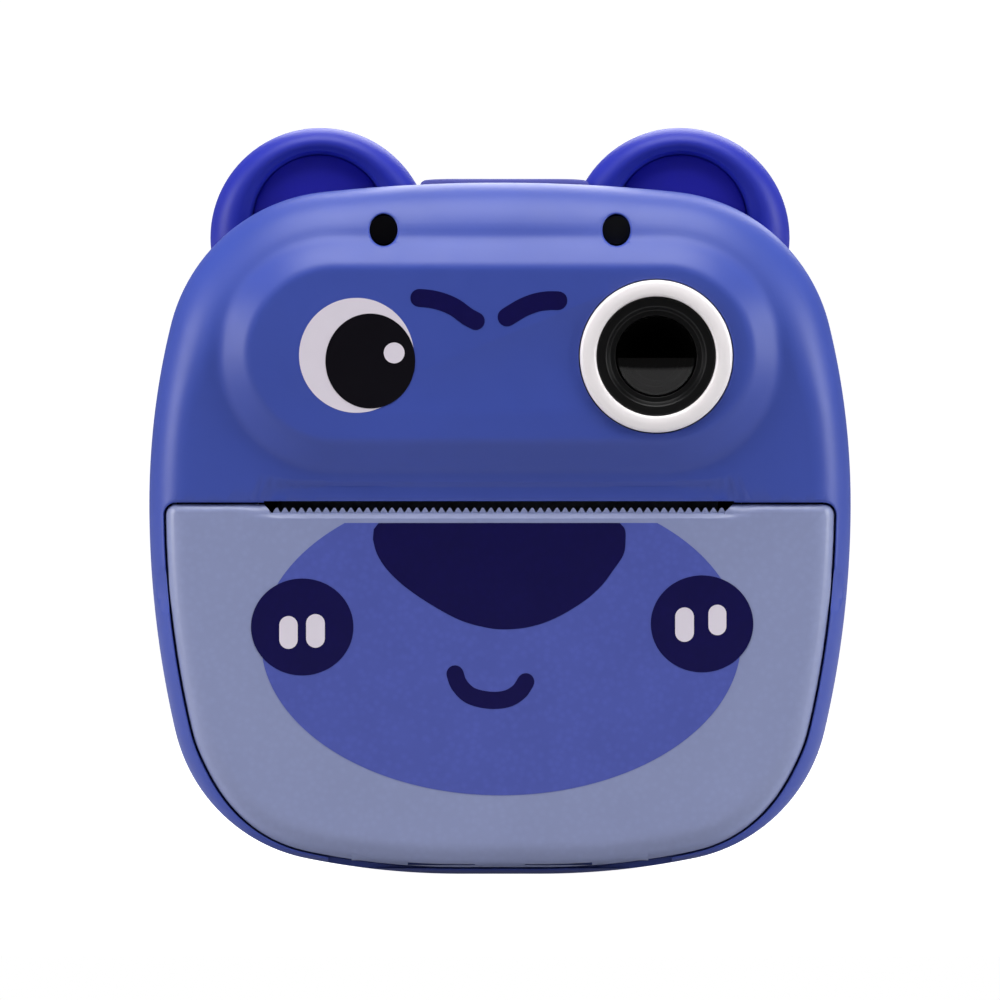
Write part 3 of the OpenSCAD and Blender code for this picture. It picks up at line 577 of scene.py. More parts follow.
def skin_hole(x, z, rx, rz, y1, lip=0.3):
    """Cutter for a hole whose rounded edge follows the skin."""
    rings = [at_depth(oval_points(x, z, rx + lip + 0.5, rz + lip + 0.5, 64), PLATFORM - 2)]
    for grow, sink in [
        (lip + 0.5, -0.6), (lip, 0.0), (lip * 0.55, lip * 0.15), (lip * 0.15, lip * 0.5), (0, lip)
    ]:
        rings.append(on_skin(oval_points(x, z, rx + grow, rz + grow, 64), sink))
    rings.append(at_depth(oval_points(x, z, rx, rz, 64), y1))
    return loft(rings)


def build_case_front():
    cutters = [door_hole(), skin_hole(LENS_X, LENS_Z, LENS_BORE, LENS_BORE, FRONT + 3.2, 0.2)]
    for s in (-1, 1):
        cutters.append(skin_hole(s * HOLE_X, HOLE_Z, 1.8, 2.08, -12.5, 0.25))
        cutters.append(ball(s * FINGER[0], *FINGER[1:], 96))
    cutters.append(slab(
        [(-30.25, SLOT_HIGH), (30.0, SLOT_HIGH), (28.7, 45), (-29.3, 45)], FRONT - 1, FRONT + 5
    ))
    x, y, half, r = BUTTON
    cutters.append(loft([
        level_ring(x, y, half, r + 0.55, 90.2), level_ring(x, y, half, r + 0.2, 88.2),
        level_ring(x, y, half, r + 0.18, 82)
    ]))
    cutters.append(block((-22, 22), (FRONT, -14.85), (0.75, 7)))
    piece(
        "case_front", cut(loft(front_rings()), cutters), "case_blue", "case", ("front_shell",),
        smooth=32
    )


WINDOW_Z, WINDOW_W, WINDOW_H, WINDOW_R = 60.5, 51.0, 41.0, 3.0
WINDOW_FLOOR = REAR - 1.05
KEYS = {
    "ok": (0, 21.5, 4.2),
    "up": (0, 31, 3.0),
    "down": (0, 12, 3.0),
    "left": (-9.5, 21.5, 3.0),
    "right": (9.5, 21.5, 3.0),
    "power": (24, 30, 3.6),
    "mode": (-24, 30, 3.0),
    "play": (-24, 15, 3.0),
}
SCREWS = [(-33.5, 74), (33.5, 74), (-24, 8.5), (24, 8.5)]
STRAP_LOW, STRAP_HIGH = 58.0, 68.0
SOCKET_Z, CARD_Z = 50.0, 49.0


def rear_hole(points_of, y1, lip=0.25):
    """Cutter for an opening in the flat rear face with a rounded edge; points_of gives its outline grown."""
    rings = [at_depth(points_of(lip + 0.4), REAR + 0.5), at_depth(points_of(lip), REAR)]
    rings += [
        at_depth(points_of(lip * 0.3), REAR - lip * 0.3), at_depth(points_of(0), REAR - lip),
        at_depth(points_of(0), y1)
    ]
    return loft(rings)


def build_case_back():
    rings = []
    for k in range(12, -1, -1):
        a = math.pi / 2 * k / 12
        rings.append(inset_outline(
            lambda z, a=a: rear_reach(z) * (1 - math.cos(a)), REAR - 5 * (1 - math.sin(a)), AROUND
        ))
    rings.append(inset_outline(0, 10, AROUND))
    rings.append(inset_outline(0, SPLIT + 0.3, AROUND))
    rings.append(inset_outline(0.07, SPLIT + 0.1, AROUND))
    rings.append(inset_outline(0.28, SPLIT + SEAM, AROUND))
    rings.append(inset_outline(WALL, SPLIT + SEAM, AROUND))
    for k in range(8):
        a = math.pi / 2 * k / 7
        rings.append(inset_outline(
            lambda z, a=a: WALL + (rear_reach(z) - 1.2) * (1 - math.cos(a)),
            REAR - WALL - 3.8 * (1 - math.sin(a)), AROUND
        ))
    cutters = [rear_hole(
        lambda g: rounded_points(0, WINDOW_Z, WINDOW_W + 2 * g, WINDOW_H + 2 * g, WINDOW_R + g), WINDOW_FLOOR
    )]
    cutters.append(slab(rounded_points(0, WINDOW_Z, 44, 33, 1), REAR - 4, REAR + 1))
    for x, z, r in KEYS.values():
        cutters.append(rear_hole(
            lambda g, x=x, z=z, r=r: oval_points(x, z, r + 0.2 + g, r + 0.2 + g, 56), REAR - 4
        ))
    for x, z in SCREWS:
        cutters.append(rear_hole(lambda g, x=x, z=z: oval_points(x, z, 2.25 + g, 2.25 + g, 40), 19.9, 0.3))
    sx, sz = centre("speaker").x / MM, centre("speaker").z / MM
    for k in range(7):
        x, z = (sx + 3.6 * math.cos(TAU * k / 6), sz + 3.6 * math.sin(TAU * k / 6)) if k < 6 else (sx, sz)
        cutters.append(rear_hole(
            lambda g, x=x, z=z: oval_points(x, z, 0.75 + g, 0.75 + g, 24), REAR - 4, 0.15
        ))
    cutters.append(block((-47, -39.4), (8, 12), (STRAP_LOW, STRAP_HIGH), 0.6))
    cutters.append(block((44, 47), (7.2, 17.2), (SOCKET_Z - 7, SOCKET_Z + 7), 0.3))
    cutters.append(block((40, 47), (11.6, 15.2), (SOCKET_Z - 4.8, SOCKET_Z + 4.8), 0.8))
    cutters.append(block((-47, -40), (12.7, 14.7), (CARD_Z - 6, CARD_Z + 6), 0.3))
    shell = cut(loft(rings), cutters)
    piece("case_back", shell, "case_blue", "case", ("back_shell",), smooth=32)
    floor = block((-42, -38.6), (6.6, 13.4), (STRAP_LOW - 1.2, STRAP_HIGH + 1.2), 0.3)
    floor = cut(floor, [block((-47, -39.4), (7.98, 12.02), (STRAP_LOW - 0.02, STRAP_HIGH + 0.02), 0.6)])
    inside = loft([
        at_depth([tuple(p) for p in side_points(0.35)], 0),
        at_depth([tuple(p) for p in side_points(0.35)], 20)
    ])
    piece("strap_pocket", keep_common(floor, inside), "case_blue", "case")


def side_points(inset):
    """The body's outline drawn in by inset, as x, z points."""
    return [p - n * inset for p, n in (outline(i / 240) for i in range(240))]


def keep_common(bm, other):
    """The part of the bmesh that lies inside the other one."""
    return cut(bm, [other], "INTERSECT")


# ---- Ears ----
EAR_X, EAR_Z, EAR_R = 23.2, 81.8, 14.2
HOLLOW_X, HOLLOW_Z, HOLLOW_R = 23.3, 83.9, 8.9
EAR_FRONT, EAR_REAR = -4.0, 8.0
RIM_CREST = 0.34
FRONT_ROLL, REAR_ROLL = 4.6, 3.0


def ear_ring(s, t, y, steps=96, shrink=0.0):
    """A ring between the rim of the hollow at t = 0 and the ear's outer edge at t = 1."""
    x = s * (HOLLOW_X + (EAR_X - HOLLOW_X) * t)
    z = HOLLOW_Z + (EAR_Z - HOLLOW_Z) * t
    r = HOLLOW_R + (EAR_R - HOLLOW_R) * t - shrink
    return at_depth(oval_points(x, z, r, r, steps), y)


def inside_body():
    """Cutter for whatever would stand inside the shells."""
    edge = [tuple(p) for p in side_points(-0.03)]
    return loft([at_depth(edge, EAR_FRONT - 3), at_depth(edge, EAR_REAR + 3)])


def build_ears():
    """Ears: first the hollow's wall, then the soft rim, the front roll and the rear roll."""
    for side, s in (("left", -1), ("right", 1)):
        rings = [ear_ring(s, 0, EAR_FRONT + 3.1, shrink=0.9), ear_ring(s, 0, EAR_FRONT + 2.5, shrink=0.35)]
        rings += [ear_ring(s, 0, EAR_FRONT + 1.3, shrink=0.12), ear_ring(s, 0, EAR_FRONT + 0.75)]
        rings.append(ear_ring(s, 0.06, EAR_FRONT + 0.45))
        for k in range(5):
            t = 0.14 + 0.05 * k
            rings.append(ear_ring(s, t, EAR_FRONT + 0.35 * ((RIM_CREST - t) / 0.2) ** 2))
        for k in range(1, 13):
            a = math.pi / 2 * k / 12
            t = RIM_CREST + (1 - RIM_CREST) * math.sin(a)
            rings.append(ear_ring(s, t, EAR_FRONT + FRONT_ROLL * (1 - math.cos(a))))
        for k in range(9):
            a = math.pi / 2 * k / 8
            y = EAR_REAR - REAR_ROLL * (1 - math.sin(a))
            rings.append(ear_ring(s, 1, y, shrink=REAR_ROLL * (1 - math.cos(a))))
        shape = cut(loft(rings), [inside_body()])
        piece(f"ear_{side}", shape, "ear_blue", "case", (f"{side}_ear",), smooth=35)
        # The hollow's floor, in a darker blue that is painted shade of the deep recess.
        pad = [
            ear_ring(s, 0, EAR_FRONT + y, shrink=inward)
            for y, inward in ((3.0, 0.38), (2.1, 0.4), (1.95, 0.75), (2.05, 3), (2.15, 6))
        ]
        piece(f"ear_hollow_{side}", cut(loft(pad), [inside_body()]), "ear_deep_blue", "case")


# ---- Shutter button ----
def build_shutter_button():
    x, y, half, r = BUTTON
    top = span("shutter_button").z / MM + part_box("shutter_button")[0].z / MM
    rings = [level_ring(x, y, half, r - 0.1, 84.4), level_ring(x, y, half, r, 85)]
    for k in range(7):
        a = math.pi / 2 * k / 6
        rings.append(level_ring(x, y, half, r - 0.9 * (1 - math.cos(a)), top - 0.9 + 0.78 * math.sin(a)))
    rings += [level_ring(x, y, half, r - 1.8, top - 0.05), level_ring(x, y, half, r - 3.4, top)]
    piece("shutter_key", loft(rings), "button_blue", "shutter", ("shutter_button",))


# ---- Eye, brows and other prints on the face ----
PRINT = 0.03
PRINT_ROOT = 0.1


def print_patch(name, points, layer, finish, body, base):
    """A printed shape: a very thin raised layer with an even edge on a flat face at depth base."""
    bm = slab(points, base - PRINT * layer, base + PRINT_ROOT)
    return piece(name, bm, finish, body)


EYE_X, EYE_Z, EYE_R = -18.33, 66.42, 7.34
BROW_LEFT = [(-10.3, 73.75), (-8.8, 73.6), (-7.25, 73.2), (-5.7, 72.5), (-4.2, 71.4), (-3.1, 70.8)]
BROW_RIGHT = [(0.9, 71.3), (1.7, 71.8), (3.0, 72.55), (4.6, 73.15), (6.1, 73.4), (7.4, 73.4)]


def build_eye():
    print_patch(
        "eye_white", oval_points(EYE_X, EYE_Z, EYE_R, EYE_R, 128), 1, "print_white", "case",
        PLATFORM
    )
    print_patch(
        "eye_pupil", oval_points(-16.57, 65.69, 5.73, 6.07, 128), 2, "print_black", "case",
        PLATFORM
    )
    print_patch(
        "eye_glint", oval_points(-13.52, 66.73, 1.33, 1.33, 64), 3, "print_white", "case",
        PLATFORM
    )


def build_brows():
    for side, line, width in (("left", BROW_LEFT, 2.3), ("right", BROW_RIGHT, 2.4)):
        print_patch(f"brow_{side}", stroke_points(line, width), 1, "print_navy", "case", PLATFORM)


# ---- Lens ----
def build_lens():
    at = (LENS_X, 0, LENS_Z)
    ring_front = -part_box("lens_ring")[0].y / MM
    ring = [(7.62, 18.2), (9.75, 18.2), (9.75, ring_front - 0.75)]
    ring += [
        (9.75 - 0.6 + 0.6 * math.cos(k * math.pi / 12), ring_front - 0.75 + 0.6 * math.sin(k * math.pi / 12))
        for k in range(1, 7)
    ]
    ring += [(8.7, ring_front), (8.1, ring_front - 0.1)]
    ring += [
        (8.1 - 0.45 * math.sin(k * math.pi / 10), ring_front - 0.55 + 0.45 * math.cos(k * math.pi / 10))
        for k in range(1, 6)
    ]
    piece(
        "lens_trim", lathe([(r, -h) for r, h in ring], 128, at), "ring_white", "case",
        ("lens_ring",)
    )
    barrel = [
        (7.6, 18), (7.6, 22.55), (7.45, 22.7), (6.45, 22.7), (6.3, 22.62), (5.95, 22.1), (5.85, 22.05),
        (5.3, 22.05), (5.22, 21.95)
    ]
    barrel += [
        (5.22, 20.5), (4.6, 19.6), (4.4, 18.4), (3.7, 18.0), (3.5, 16.9), (2.9, 16.6), (2.7, 14), (2.7, 9),
        (6.4, 9), (6.4, 17.5), (7.2, 18)
    ]
    piece(
        "lens_barrel_step", lathe([(r, -h) for r, h in barrel], 128, at), "lens_black", "case",
        ("lens_barrel",), smooth=25
    )
    dome = [(5.2 * k / 12, 22.32 - 16 + math.sqrt(256 - (5.2 * k / 12) ** 2)) for k in range(13)]
    glass = [(r, -h) for r, h in dome] + [
        (5.2, -21.2), (5.0, -21.0), (3.5, -21.25), (1.8, -21.4), (0, -21.45)
    ]
    piece(
        "lens_front_glass", lathe(glass, 96, at, closed=False), "lens_glass", "case",
        ("lens_glass",)
    )
    inner = [(0, -17.2), (1.4, -17.1), (2.55, -16.7), (2.7, -16.4), (2.7, -15.8), (0, -15.8)]
    piece("lens_inner_glass", lathe(inner, 72, at, closed=False), "lens_inner", "case")


# ---- Door ----
TOOTH_ROOT, TOOTH_TIP = 46.3, 46.95
TEETH = 55


def door_ring(inward, sink):
    """A ring of the door's skin, drawn inward and sunk behind the body's front skin."""
    out = []
    for x, z in door_points(-inward):
        y = front_y(x, z)
        out.append(Vector((x, y + min(sink, max(0.0, DOOR_BACK - 0.25 - y)), z)) * MM)
    return out


def notch_cutter():
    """Takes the door's top edge away under the paper slot, leaving a slope."""
    bm = bmesh.new()
    profile = [(-21.0, 45.0), (FRONT, 45.8), (-19.35, 46.3), (-16.0, 46.3), (-16.0, 49.0), (-21.0, 49.0)]
    low, high = -29.25, 28.65
    verts = [bm.verts.new(Vector((low - max(0, z - 46.3) * 0.85, y, z)) * MM) for y, z in profile]
    face = bm.faces.new(verts)
    made = bmesh.ops.extrude_face_region(bm, geom=[face])
    moved = [g for g in made["geom"] if isinstance(g, bmesh.types.BMVert)]
    for v in moved:
        v.co.x = (high + max(0, v.co.z / MM - 46.3) * 1.05) * MM
    bmesh.ops.recalc_face_normals(bm, faces=bm.faces)
    return bm


def build_door():
    rings = [at_depth(door_points(-6.5), FRONT + WALL), at_depth(door_points(-3.4), FRONT + WALL)]
    rings += [
        at_depth(door_points(-2.4), DOOR_BACK - 0.3), at_depth(door_points(-1.2), DOOR_BACK),
        at_depth(door_points(0), DOOR_BACK)
    ]
    for k in range(8):
        d = 1.05 * (1 - math.cos(k * math.pi / 14))
        rings.append(door_ring(d, 1.05 * (1 - math.sin(k * math.pi / 14))))
    for d in (1.15, 1.3, 1.45, 1.6, 1.8, 2.1, 2.6, 3.2, 3.9, 4.7, 5.6, 6.5):
        rings.append(door_ring(d, 0))
    cutters = [notch_cutter()]
    for s in (-1, 1):
        cutters.append(rod_along_x(1.85, s * 7.5 - 4.3, s * 7.5 + 4.3, HINGE_Y, HINGE_Z))
        cutters.append(block((s * 7.5 - 4.3, s * 7.5 + 4.3), (-18.2, -16), (1.2, 5.6)))
    piece(
        "door_skin", cut(loft(rings), cutters), "door_blue", "door", ("door_panel",), smooth=32
    )


def build_teeth():
    low, high = -29.1, 28.9
    pitch = (high - low) / TEETH
    line = [(low, TOOTH_ROOT - 0.55), (low, TOOTH_ROOT)]
    for i in range(TEETH):
        line += [
            (low + (i + 0.5) * pitch - 0.1, TOOTH_TIP), (low + (i + 0.5) * pitch + 0.1, TOOTH_TIP),
            (low + (i + 1) * pitch, TOOTH_ROOT)
        ]
    line += [(high, TOOTH_ROOT - 0.55)]
    bm = slab(line, -19.2, -18.5)
    piece("tear_teeth", bm, "door_blue", "door", ("tear_edge",), smooth=20)


MUZZLE = (0.13, 29.97, 30.7, 19.8, 45.0)
NOSE = [
    (-16.25, 42.9), (-15.7, 41.0), (-14.4, 39.0), (-12.2, 36.9), (-9.2, 34.8), (-5.4, 32.7), (-2.3, 31.75),
    (0.4, 31.4), (3.7, 31.7)
]
NOSE += [(7.0, 32.8), (10.6, 34.9), (12.9, 36.9), (14.5, 39.0), (15.8, 41.0), (16.05, 42.9)]
SMILE = [(-5.75, 25.7), (-5.2, 24.3), (-3.8, 22.95), (-1.5, 22.35), (0.8, 22.5), (2.4, 23.4), (3.3, 24.7)]
CHEEKS = [
    (-25.3, 31.7, ((-27.05, 31.0, 2.35, 4.2), (-23.6, 31.2, 2.4, 4.3))),
    (25.84, 32.1, ((23.6, 32.0, 2.4, 4.4), (27.8, 32.6, 2.3, 3.9)))
]


def build_muzzle():
    x, z, rx, rz, flat = MUZZLE
    t = math.asin((flat - z) / rz)
    around = [
        (x + rx * math.cos(a), z + rz * math.sin(a))
        for a in (math.pi - t + (math.pi + 2 * t) * k / 160 for k in range(161))
    ]
    print_patch("muzzle_print", around, 1, "print_muzzle", "door", FRONT)
    nose = smooth_line([*NOSE, (15.95, 44.2), (15.3, 45.0)], 6)
    nose = [tuple(p) for p in nose] + [(-15.5, 45.0), (-16.15, 44.2)]
    print_patch("nose_print", nose, 2, "print_navy", "door", FRONT)
    print_patch("smile_print", stroke_points(SMILE, 2.2), 2, "print_navy", "door", FRONT)
    for side, (cx, cz, pills) in zip(("left", "right"), CHEEKS, strict=True):
        print_patch(
            f"cheek_{side}", oval_points(cx, cz, 6.55, 6.2, 96), 2, "print_navy", "door", FRONT
        )
        for i, (px, pz, w, h) in enumerate(pills):
            print_patch(
                f"cheek_{side}_shine_{i + 1}", upright_pill(px, pz, w, h), 3, "print_white", "door",
                FRONT
            )


# ---- Rear: screen, keys, flap ----
def rear_cap(x, z, r, proud, base=19.5, dish=0.0, steps=64):
    """A round key cap along +Y with a rounded edge, its face a little domed or dished."""
    top = REAR + proud
    edge = 0.45
    profile = [(r - 0.05, base), (r, base + 0.4)]
    profile += [
        (r - edge + edge * math.cos(k * math.pi / 12), top - edge - 0.12 + edge * math.sin(k * math.pi / 12))
        for k in range(7)
    ]
    profile += [
        (r * 0.6, top - 0.04 - dish * 0.6), (r * 0.3, top - 0.01 - dish * 0.9), (0, top - dish), (0, base)
    ]
    bm = lathe(profile, steps, (x, 0, z))
    return bm


def icon(name, points, y, body):
    """A small raised mark on a key."""
    bm = slab(points, y - 0.3, y + 0.05)
    return piece(name, bm, "icon_grey", body)


def turned(points, cx, cz, angle):
    c, s = math.cos(angle), math.sin(angle)
    return [(cx + x * c - z * s, cz + x * s + z * c) for x, z in points]


def build_keys():
    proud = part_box("ok_key")[1].y / MM - REAR
    arrow = [(-0.95, -0.55), (0, 0.85), (0.95, -0.55), (0.55, -0.75), (0, 0.1), (-0.55, -0.75)]
    turns = {"up": 0, "down": math.pi, "left": math.pi / 2, "right": -math.pi / 2}
    for name, (x, z, r) in KEYS.items():
        dish = 0.25 if name == "ok" else 0.0
        piece(
            f"{name}_cap", rear_cap(x, z, r, proud, dish=dish), "key_white", name,
            (f"{name}_key",)
        )
        top = REAR + proud
        if name in turns:
            icon(f"{name}_mark", turned(arrow, x, z, turns[name]), top - 0.02, name)
        elif name == "play":
            icon(
                "play_mark", turned([(-0.7, -1.0), (-0.7, 1.0), (1.05, 0)], x + 0.1, z, math.pi), top - 0.02,
                name
            )
        elif name == "mode":
            for i, (dx, dz) in enumerate([(-0.65, -0.65), (0.65, -0.65), (-0.65, 0.65), (0.65, 0.65)]):
                icon(f"mode_mark_{i + 1}", rounded_points(x + dx, z + dz, 0.9, 0.9, 0.2, 3), top - 0.03, name)
        elif name == "power":
            arc = [(1.35 * math.sin(0.7 + k * 0.3055), 1.35 * math.cos(0.7 + k * 0.3055)) for k in range(17)]
            icon(
                "power_mark_ring", stroke_points([(x + a, z + b) for a, b in arc], 0.38, 5), top - 0.03, name
            )
            icon(
                "power_mark_bar", stroke_points([(x, z + 0.35), (x, z + 0.9), (x, z + 1.5)], 0.38, 5),
                top - 0.02, name
            )
        else:
            ring = [(1.1, top - 0.6), (1.1, top - 0.17), (1.45, top - 0.15), (1.45, top - 0.6)]
            piece("ok_mark", lathe(ring, 48, (x, 0, z)), "icon_grey", name)


def build_screen():
    rings = []
    for grow, y in [
        (-1.2, WINDOW_FLOOR + 0.05), (0, WINDOW_FLOOR + 0.05), (0, REAR - 0.3), (-0.06, REAR - 0.12),
        (-0.25, REAR - 0.02), (-0.6, REAR)
    ]:
        g = grow - 0.15
        rings.append(at_depth(
            rounded_points(0, WINDOW_Z, WINDOW_W + 2 * g, WINDOW_H + 2 * g, WINDOW_R + g), y
        ))
    piece("screen_glass", loft(rings), "screen_glass", "case", ("display_window",))
    print_patch(
        "screen_face", rounded_points(0, WINDOW_Z + 0.8, 43, 32.4, 0.8), 0, "screen_face", "case",
        REAR - 0.08
    )


def build_flap():
    low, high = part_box("usb_flap")
    x = (low.x / MM, high.x / MM)
    y = (low.y / MM + 0.3, high.y / MM - 0.02)
    z = (low.z / MM + 0.05, high.z / MM - 0.05)
    bm = block(x, y, z, 0.28, 4)
    groove = block((high.x / MM - 0.2, 50), (y[1] - 1.3, y[1] + 1), (SOCKET_Z - 2.4, SOCKET_Z + 2.4), 0.15)
    piece("socket_flap", cut(bm, [groove]), "flap_rubber", "flap", ("usb_flap",))
    for i, dz in enumerate((-4.4, 4.4)):
        rib = block(
            (high.x / MM - 0.05, high.x / MM + 0.12), (y[0] + 1, y[1] - 2.4),
            (SOCKET_Z + dz - 0.25, SOCKET_Z + dz + 0.25), 0.06, 2
        )
        piece(f"socket_flap_rib_{i + 1}", rib, "flap_rubber", "flap")


def build_screws():
    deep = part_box("case_screws")[0].y / MM
    whole = bmesh.new()
    for x, z in SCREWS:
        head = [
            (0, deep), (0.5, deep), (1.0, deep + 0.6), (1.0, 19.95), (1.95, 19.95), (2.0, 20.05), (2.0, 20.6)
        ]
        head += [
            (2.0 - 0.9 * (1 - math.cos(k * math.pi / 12)), 20.6 + 0.6 * math.sin(k * math.pi / 12))
            for k in range(1, 7)
        ]
        head += [(0.5, 21.24), (0, 21.25)]
        bm = lathe(head, 40, (x, 0, z))
        cutters = [
            block((x - 1.25, x + 1.25), (20.55, 22), (z - 0.27, z + 0.27), 0.1, 2),
            block((x - 0.27, x + 0.27), (20.55, 22), (z - 1.25, z + 1.25), 0.1, 2)
        ]
        done = cut(bm, cutters)
        held = bpy.data.meshes.new("screw")
        done.to_mesh(held)
        done.free()
        whole.from_mesh(held)
        bpy.data.meshes.remove(held)
    piece("screw_set", whole, "steel", "case", ("case_screws",))


# ---- Finishes ----
def node_in(tree, kind, **settings):
    n = tree.nodes.new(kind)
    for key, value in settings.items():
        setattr(n, key, value)
    return n


def set_in(n, **values):
    for key, value in values.items():
        n.inputs[key.replace("_", " ")].default_value = value
    return n


def linear(rgb):
    """Screen colour to the shader's linear colour."""
    return (*[(c / 12.92) if c <= 0.04045 else ((c + 0.055) / 1.055) ** 2.4 for c in rgb], 1.0)


def new_group(name, inputs, outputs):
    tree = bpy.data.node_groups.new(name, "ShaderNodeTree")
    for label, kind, default in inputs:
        s = tree.interface.new_socket(name=label, in_out="INPUT", socket_type=kind)
        s.default_value = default
    for label, kind in outputs:
        tree.interface.new_socket(name=label, in_out="OUTPUT", socket_type=kind)
    return tree, tree.nodes.new("NodeGroupInput"), tree.nodes.new("NodeGroupOutput")


FLOAT, COLOR = "NodeSocketFloat", "NodeSocketColor"


def group_moulded():
    """Satin moulding: faint mottling of the colour, fine spark texture and uneven gloss."""
    ins = [
        ("Color", COLOR, (0.5, 0.5, 0.5, 1)), ("Deeper", COLOR, (0.4, 0.4, 0.4, 1)), ("Roughness", FLOAT, 0.4)
    ]
    ins += [("Gloss Variation", FLOAT, 0.08), ("Grain Size", FLOAT, 4000.0), ("Mottle Size", FLOAT, 90.0)]
    tree, gin, gout = new_group(
        "Moulded Plastic", ins, [("Color", COLOR), ("Roughness", FLOAT), ("Height", FLOAT)]
    )
    link = tree.links.new
    place = tree.nodes.new("ShaderNodeTexCoord")
    mottle = set_in(node_in(tree, "ShaderNodeTexNoise"), Detail=4.0, Roughness=0.6)
    grain = set_in(node_in(tree, "ShaderNodeTexNoise"), Detail=2.0, Roughness=0.5)
    gloss = set_in(node_in(tree, "ShaderNodeTexNoise"), Scale=260.0, Detail=3.0)
    for n, size in ((mottle, "Mottle Size"), (grain, "Grain Size")):
        link(gin.outputs[size], n.inputs["Scale"])
        link(place.outputs["Object"], n.inputs["Vector"])
    link(place.outputs["Object"], gloss.inputs["Vector"])
    tone = node_in(tree, "ShaderNodeMapRange")
    set_in(tone, From_Min=0.3, From_Max=0.75)
    link(mottle.outputs["Fac"], tone.inputs["Value"])
    mix = node_in(tree, "ShaderNodeMix", data_type="RGBA")
    link(tone.outputs["Result"], mix.inputs["Factor"])
    link(gin.outputs["Color"], mix.inputs[6])
    link(gin.outputs["Deeper"], mix.inputs[7])
    link(mix.outputs[2], gout.inputs["Color"])
    off = node_in(tree, "ShaderNodeMath", operation="SUBTRACT")
    off.inputs[1].default_value = 0.5
    link(gloss.outputs["Fac"], off.inputs[0])
    rough = node_in(tree, "ShaderNodeMath", operation="MULTIPLY_ADD")
    link(off.outputs[0], rough.inputs[0])
    link(gin.outputs["Gloss Variation"], rough.inputs[1])
    link(gin.outputs["Roughness"], rough.inputs[2])
    link(rough.outputs[0], gout.inputs["Roughness"])
    link(grain.outputs["Fac"], gout.inputs["Height"])
    return tree


def group_brushed():
    """Drawn or turned metal: fine lines along one axis, with a few darker spots."""
    ins = [
        ("Color", COLOR, (0.6, 0.6, 0.6, 1)), ("Roughness", FLOAT, 0.3), ("Lines", FLOAT, 3000.0),
        ("Stretch", FLOAT, 0.03)
    ]
    tree, gin, gout = new_group(
        "Drawn Metal", ins, [("Color", COLOR), ("Roughness", FLOAT), ("Height", FLOAT)]
    )
    link = tree.links.new
    place = tree.nodes.new("ShaderNodeTexCoord")
    turn = node_in(tree, "ShaderNodeMapping")
    link(place.outputs["Object"], turn.inputs["Vector"])
    both = node_in(tree, "ShaderNodeCombineXYZ")
    link(gin.outputs["Stretch"], both.inputs["X"])
    both.inputs["Y"].default_value = both.inputs["Z"].default_value = 1.0
    link(both.outputs[0], turn.inputs["Scale"])
    lines = set_in(node_in(tree, "ShaderNodeTexNoise"), Detail=2.0)
    link(gin.outputs["Lines"], lines.inputs["Scale"])
    link(turn.outputs["Vector"], lines.inputs["Vector"])
    spots = set_in(node_in(tree, "ShaderNodeTexNoise"), Scale=350.0, Detail=5.0)
    link(place.outputs["Object"], spots.inputs["Vector"])
    dark = node_in(tree, "ShaderNodeMapRange")
    set_in(dark, From_Min=0.35, From_Max=0.6, To_Min=0.72, To_Max=1.0)
    link(spots.outputs["Fac"], dark.inputs["Value"])
    mix = node_in(tree, "ShaderNodeMix", data_type="RGBA", blend_type="MULTIPLY")
    mix.inputs["Factor"].default_value = 1.0
    link(gin.outputs["Color"], mix.inputs[6])
    link(dark.outputs["Result"], mix.inputs[7])
    link(mix.outputs[2], gout.inputs["Color"])
    rough = node_in(tree, "ShaderNodeMath", operation="MULTIPLY_ADD")
    rough.inputs[1].default_value = 0.22
    link(lines.outputs["Fac"], rough.inputs[0])
    link(gin.outputs["Roughness"], rough.inputs[2])
    link(rough.outputs[0], gout.inputs["Roughness"])
    link(lines.outputs["Fac"], gout.inputs["Height"])
    return tree


def surface(name, group, values, bump=0.1, distance=0.05, **shader):
    """A material whose colour, roughness and bump come from one of the groups."""
    if name in MATERIALS:
        MATERIALS.remove(MATERIALS[name])
    mat = MATERIALS.new(name)
    mat.use_nodes = True
    tree = mat.node_tree
    bsdf = tree.nodes["Principled BSDF"]
    effect = tree.nodes.new("ShaderNodeGroup")
    effect.node_tree = group
    for key, value in values.items():
        effect.inputs[key].default_value = value
    for out in ("Color", "Roughness"):
        tree.links.new(effect.outputs[out], bsdf.inputs["Base Color" if out == "Color" else out])
    raised = tree.nodes.new("ShaderNodeBump")
    set_in(raised, Strength=bump, Distance=distance * MM)
    tree.links.new(effect.outputs["Height"], raised.inputs["Height"])
    tree.links.new(raised.outputs["Normal"], bsdf.inputs["Normal"])
    for key, value in shader.items():
        bsdf.inputs[key.replace("_", " ")].default_value = value
    mat.diffuse_color = values["Color"]
    return mat, tree, effect, bsdf


def darker(rgb, by=0.9):
    return linear([c * by for c in rgb])


def moulded(
    name, rgb, roughness, variation=0.08, grain=3500.0, mottle=90.0, contrast=0.93, bump=0.08, **shader
):
    values = {
        "Color": linear(rgb),
        "Deeper": darker(rgb, contrast),
        "Roughness": roughness,
        "Gloss Variation": variation,
        "Grain Size": grain,
        "Mottle Size": mottle,
    }
    return surface(name, bpy.data.node_groups["Moulded Plastic"], values, bump, 0.05, **shader)


def metal(name, rgb, roughness, lines=3000.0, stretch=0.03, bump=0.12):
    values = {"Color": linear(rgb), "Roughness": roughness, "Lines": lines, "Stretch": stretch}
    return surface(name, bpy.data.node_groups["Drawn Metal"], values, bump, 0.02, Metallic=1.0)


